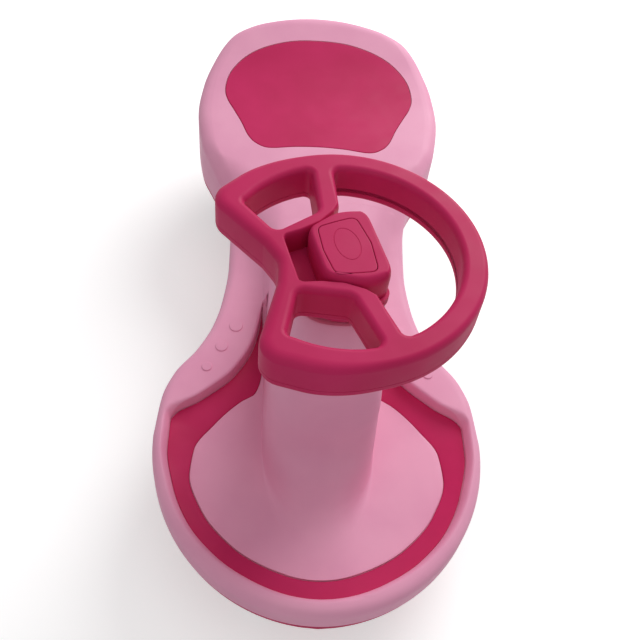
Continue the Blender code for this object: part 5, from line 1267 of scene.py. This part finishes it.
def startGroup(name, **inputs):
    # a node group with named inputs: the tree, the sockets' identifiers and what the inputs feed
    tree, sockets = bpy.data.node_groups.new(name, "GeometryNodeTree"), {}
    for key, kind in {"Geometry": "Geometry", **inputs, "Material": "Material"}.items():
        socket = tree.interface.new_socket(name=key, in_out="INPUT", socket_type="NodeSocket" + kind)
        sockets[key] = socket.identifier
    tree.interface.new_socket(name="Geometry", in_out="OUTPUT", socket_type="NodeSocketGeometry")
    return tree, sockets, addNode(tree, "NodeGroupInput").outputs


def withGroup(made, group, **values):
    # the piece with a node group's work done on it, as a plain mesh
    tree, sockets = group
    modifier = made.modifiers.new("group", "NODES")
    modifier.node_group = tree
    for key, value in values.items():
        modifier[sockets[key]] = value
    return applied(made)


def makeBlockRing():
    # node group: blocks set out evenly round a circle about Z and joined to the piece
    tree, sockets, given = startGroup("ring of blocks", Count="Int", Radius="Float", Block="Vector")
    circle = addNode(tree, "GeometryNodeMeshCircle", links={
        "Vertices": given["Count"], "Radius": given["Radius"]})
    place = addNode(tree, "GeometryNodeInputPosition")
    turn = addNode(tree, "FunctionNodeAlignRotationToVector", {"axis": "X"}, {"Vector": place.outputs[0]})
    block = addNode(tree, "GeometryNodeMeshCube", links={"Size": given["Block"]})
    blocks = addNode(tree, "GeometryNodeInstanceOnPoints", links={
        "Points": circle.outputs[0], "Instance": block.outputs[0], "Rotation": turn.outputs[0]})
    real = addNode(tree, "GeometryNodeRealizeInstances", links={"Geometry": blocks.outputs[0]})
    joined = addNode(tree, "GeometryNodeJoinGeometry")
    tree.links.new(real.outputs[0], joined.inputs[0])
    tree.links.new(given["Geometry"], joined.inputs[0])
    finish = addNode(tree, "GeometryNodeSetMaterial", links={
        "Geometry": joined.outputs[0], "Material": given["Material"]})
    addNode(tree, "NodeGroupOutput", links={0: finish.outputs[0]})
    return tree, sockets


def laidAlongX(made, place, turned):
    # a piece made about Z laid along its carrier's X, and the carrier turned as it stands
    made.data.transform(turned @ Matrix.Translation(place) @ Matrix.Rotation(math.pi / 2, 4, "Y"))
    made.data.update()
    smoothed(made.data)
    return made


def edgeRound(radius, distance, amount, count=5):
    # a rounded shoulder of a profile: from the side face towards the rim
    return [(radius - amount * far, distance - amount * near) for near, far in quarterRound(count)]


def turnedRing(name, half, sides, slotName):
    # a ring turned about Z from half of its profile, which is mirrored to its other side
    profile = half + [(radius, -height) for radius, height in reversed(half)]
    builder = bmesh.new()
    lathed(builder, profile + profile[:1], (0, 0, 0), "Z", sides)
    return cleanPiece(name, builder, slotName)


def makeWheelSet(end):
    # tyre with tread blocks, hub with ribs, and cap, for each side of one axle
    spec, shape = wheelSets[end], tyreShape
    half, rim = spec["width"] / 2, spec["radius"] - shape["thickness"]
    bore, web = spec["axle"] + shape["boreGap"], shape["web"] / 2
    rimHalf, hub, wall = half - web, bore + shape["hubWall"], shape["hubWall"]
    turned = Matrix()
    if spec["carrier"] == "steering":
        pivot = Vector((wheelShape["pivot"][0], wheelShape["pivot"][1], 0))
        turned = Matrix.Translation(pivot) @ Matrix.Rotation(math.radians(wheelShape["turn"]), 4, "Z")
    for side, name in ((1, "right"), (-1, "left")):
        place = Vector(spec["place"]) + Vector((side * spec["across"], 0, 0))
        body = f"{end}_wheel_{name}"
        tread = spec["radius"] - shape["blockRise"]
        profile = [(rim + 0.0004, half - 0.0012), (rim + 0.0016, half - 0.0002)]
        profile += edgeRound(tread, half, shape["shoulder"])
        tyre = turnedRing(f"{end}Tyre{name.title()}", profile, 112, "tread")
        long = 2 * math.pi * spec["radius"] / spec["blocks"] - shape["blockGap"]
        rise = shape["blockRise"] + 0.001  # a millimetre of it lies in the tyre
        wide = spec["width"] - 2 * shape["shoulder"] + 0.0008
        withGroup(tyre, blockRing, Count=spec["blocks"], Radius=spec["radius"] - rise / 2 - 0.0001,
                  Block=(rise, long, wide), Material=materials["tread"])
        settle(laidAlongX(tyre, place, turned), body, "tread", f"{end}_tyre_{name}")

        profile = [(bore, half - 0.0004), (bore + 0.0004, half), (hub - 0.0006, half), (hub, half - 0.0006),
                   (hub + 0.0012, web + 0.0012), (hub + 0.0026, web), (rim - wall - 0.0016, web),
                   (rim - wall + 0.0006, web + 0.0014), (rim - 0.0022, rimHalf - 0.0005),
                   (rim - 0.0016, rimHalf), (rim, rimHalf)]
        made = turnedRing(f"{end}Hub{name.title()}", profile, 96, "wheel_plastic")
        reach = rim - 0.002 - hub
        rib = (reach + 0.001, shape["ribWidth"], 2 * rimHalf - 0.003)
        withGroup(made, blockRing, Count=spec["ribs"], Radius=hub + reach / 2, Block=rib,
                  Material=materials["wheel_plastic"])
        settle(laidAlongX(made, place, turned), body, "wheel_plastic", f"{end}_hub_{name}")

        inner = spec["across"] + half + shape["capGap"]
        radius, length = shape["capRadius"], shape["capLength"]
        profile = [(0.0, inner + length * 0.75), (bore, inner + length * 0.75), (bore, inner),
                   (radius - 0.0003, inner), (radius, inner + 0.0004)]
        profile += [(radius * (1 - shape["capNarrow"] * near), inner + length - shape["capDome"] * far)
                    for near, far in quarterRound(8)]
        profile += [(radius * 0.3, inner + length), (0.0, inner + length)]
        builder = bmesh.new()
        lathed(builder, [(r, side * distance) for r, distance in profile], spec["place"], "X", 64)
        cap = cleanPiece(f"{end}Cap{name.title()}", builder, "dark_pink")
        cap.data.transform(turned)
        settle(cap, spec["carrier"], "dark_pink", f"{end}_cap_{name}")


def makeRollers():
    spec = rollerShape
    half = spec["width"] / 2
    for side, name in ((1, "right"), (-1, "left")):
        profile = [(spec["bore"], half), (spec["bore"] + 0.003, half), (spec["bore"] + 0.0034, half - 0.0008),
                   (spec["radius"] - 0.0052, half - 0.0008), (spec["radius"] - 0.0047, half)]
        profile += edgeRound(spec["radius"], half, spec["edge"])
        roller = turnedRing(f"roller{name.title()}", profile, 72, "wheel_plastic")
        x, y, z = spec["place"]
        settle(laidAlongX(roller, (side * x, y, z), Matrix()), f"roller_{name}", "wheel_plastic",
               f"antitip_roller_{name}")


blockRing = makeBlockRing()
makeWheelSet("front")
makeWheelSet("rear")
makeRollers()
print("wheels made")

# Screws, set out by one node group from their places and sunk heads with a cross recess
screwShape = {
    "body": {"radius": 0.0038, "height": 0.0022, "gap": 0.0003,
             "places": [(0.0, -0.362), (0.098, -0.272), (-0.098, -0.272), (0.096, -0.066), (-0.096, -0.066),
                        (0.102, 0.150), (-0.102, 0.150), (0.098, 0.312), (-0.098, 0.312)]},
    "wheel": {"radius": 0.0030, "height": 0.0022, "level": 0.3462},
    "recess": (0.62, 0.20, 0.0011), "dome": (0.30, 0.55), "seed": 4,
}


def makeScrewGroup():
    # node group: one head with a cross recess on each vertex of the piece, looking down
    tree, sockets, given = startGroup("screw heads", Head="Object", Seed="Int")
    head = addNode(tree, "GeometryNodeObjectInfo", links={"Object": given["Head"]})
    turn = addNode(tree, "FunctionNodeRandomValue", {"data_type": "FLOAT", 3: 1.5}, {"Seed": given["Seed"]})
    spin = addNode(tree, "ShaderNodeCombineXYZ", links={2: turn.outputs[1]})
    heads = addNode(tree, "GeometryNodeInstanceOnPoints", links={
        "Points": given["Geometry"], "Instance": head.outputs["Geometry"], "Rotation": spin.outputs[0]})
    real = addNode(tree, "GeometryNodeRealizeInstances", links={"Geometry": heads.outputs[0]})
    finish = addNode(tree, "GeometryNodeSetMaterial", links={
        "Geometry": real.outputs[0], "Material": given["Material"]})
    addNode(tree, "NodeGroupOutput", links={0: finish.outputs[0]})
    return tree, sockets


def screwHead(spec):
    # a domed head facing down, with a recess shaped as a cross
    radius, height = spec["radius"], spec["height"]
    reach, width, depth = screwShape["recess"]
    reach, width = reach * radius, width * radius
    builder, cross = bmesh.new(), []
    for k in range(4):
        c, s = math.cos(math.pi / 2 * k), math.sin(math.pi / 2 * k)
        for u, v in ((width, -width), (reach, -width), (reach, width)):
            cross.append((u * c - v * s, u * s + v * c))
    domeAcross, domeDown = screwShape["dome"]
    levels = [(0.0, 0.0)] + [(radius * domeAcross * near, -height * (1 - domeDown * far))
                             for near, far in quarterRound(5)]
    outer = wallRings(builder, oval(radius, radius, 60), levels)
    recess = wallRings(builder, np.array(cross), [(0.0, -height), (radius * 0.04, depth - height)])
    flatCap(builder, outer[0])
    flatCap(builder, outer[-1], recess[0])
    flatCap(builder, recess[-1])
    return cleanPiece("screwHead", builder, "zinc_steel")


def makeScrews(name, spec, places, body, replaced):
    # one piece of screw heads, each turned by chance
    head = screwHead(spec)
    mesh = bpy.data.meshes.new(name)
    mesh.from_pydata(places, [], [])
    screws = pieceFrom(name, mesh, "zinc_steel")
    withGroup(screws, screwGroup, Head=head, Seed=screwShape["seed"], Material=materials["zinc_steel"])
    bpy.data.objects.remove(head)
    smoothed(screws.data)
    settle(screws, body, "zinc_steel", *replaced)


screwGroup = makeScrewGroup()
spec = screwShape["body"]
bodyPlaces = []
for x, y in spec["places"]:
    ahead = y < chassisShape["keelStart"]
    level = chassisShape["underside"] if ahead else float(along(chassisShape["shelf"], y))
    bodyPlaces.append((x, y, level - spec["gap"]))
makeScrews("bodyScrews", spec, bodyPlaces, "body", [f"body_screw_{k}" for k in range(1, 10)])
spec = screwShape["wheel"]
ring, wheelPlaces = wheelShape["wellRing"], []
for degrees in wheelShape["wellAngles"]:
    turn = math.radians(degrees + wheelShape["turn"])
    wheelPlaces.append((ring * math.cos(turn), wheelShape["pivot"][1] + ring * math.sin(turn), spec["level"]))
makeScrews("wheelScrews", spec, wheelPlaces, "steering", [f"wheel_screw_{k}" for k in range(1, 7)])
print("screws made")

makeCamera()
makeStudio()
scene.view_settings.view_transform = "Standard"

print("scene done")
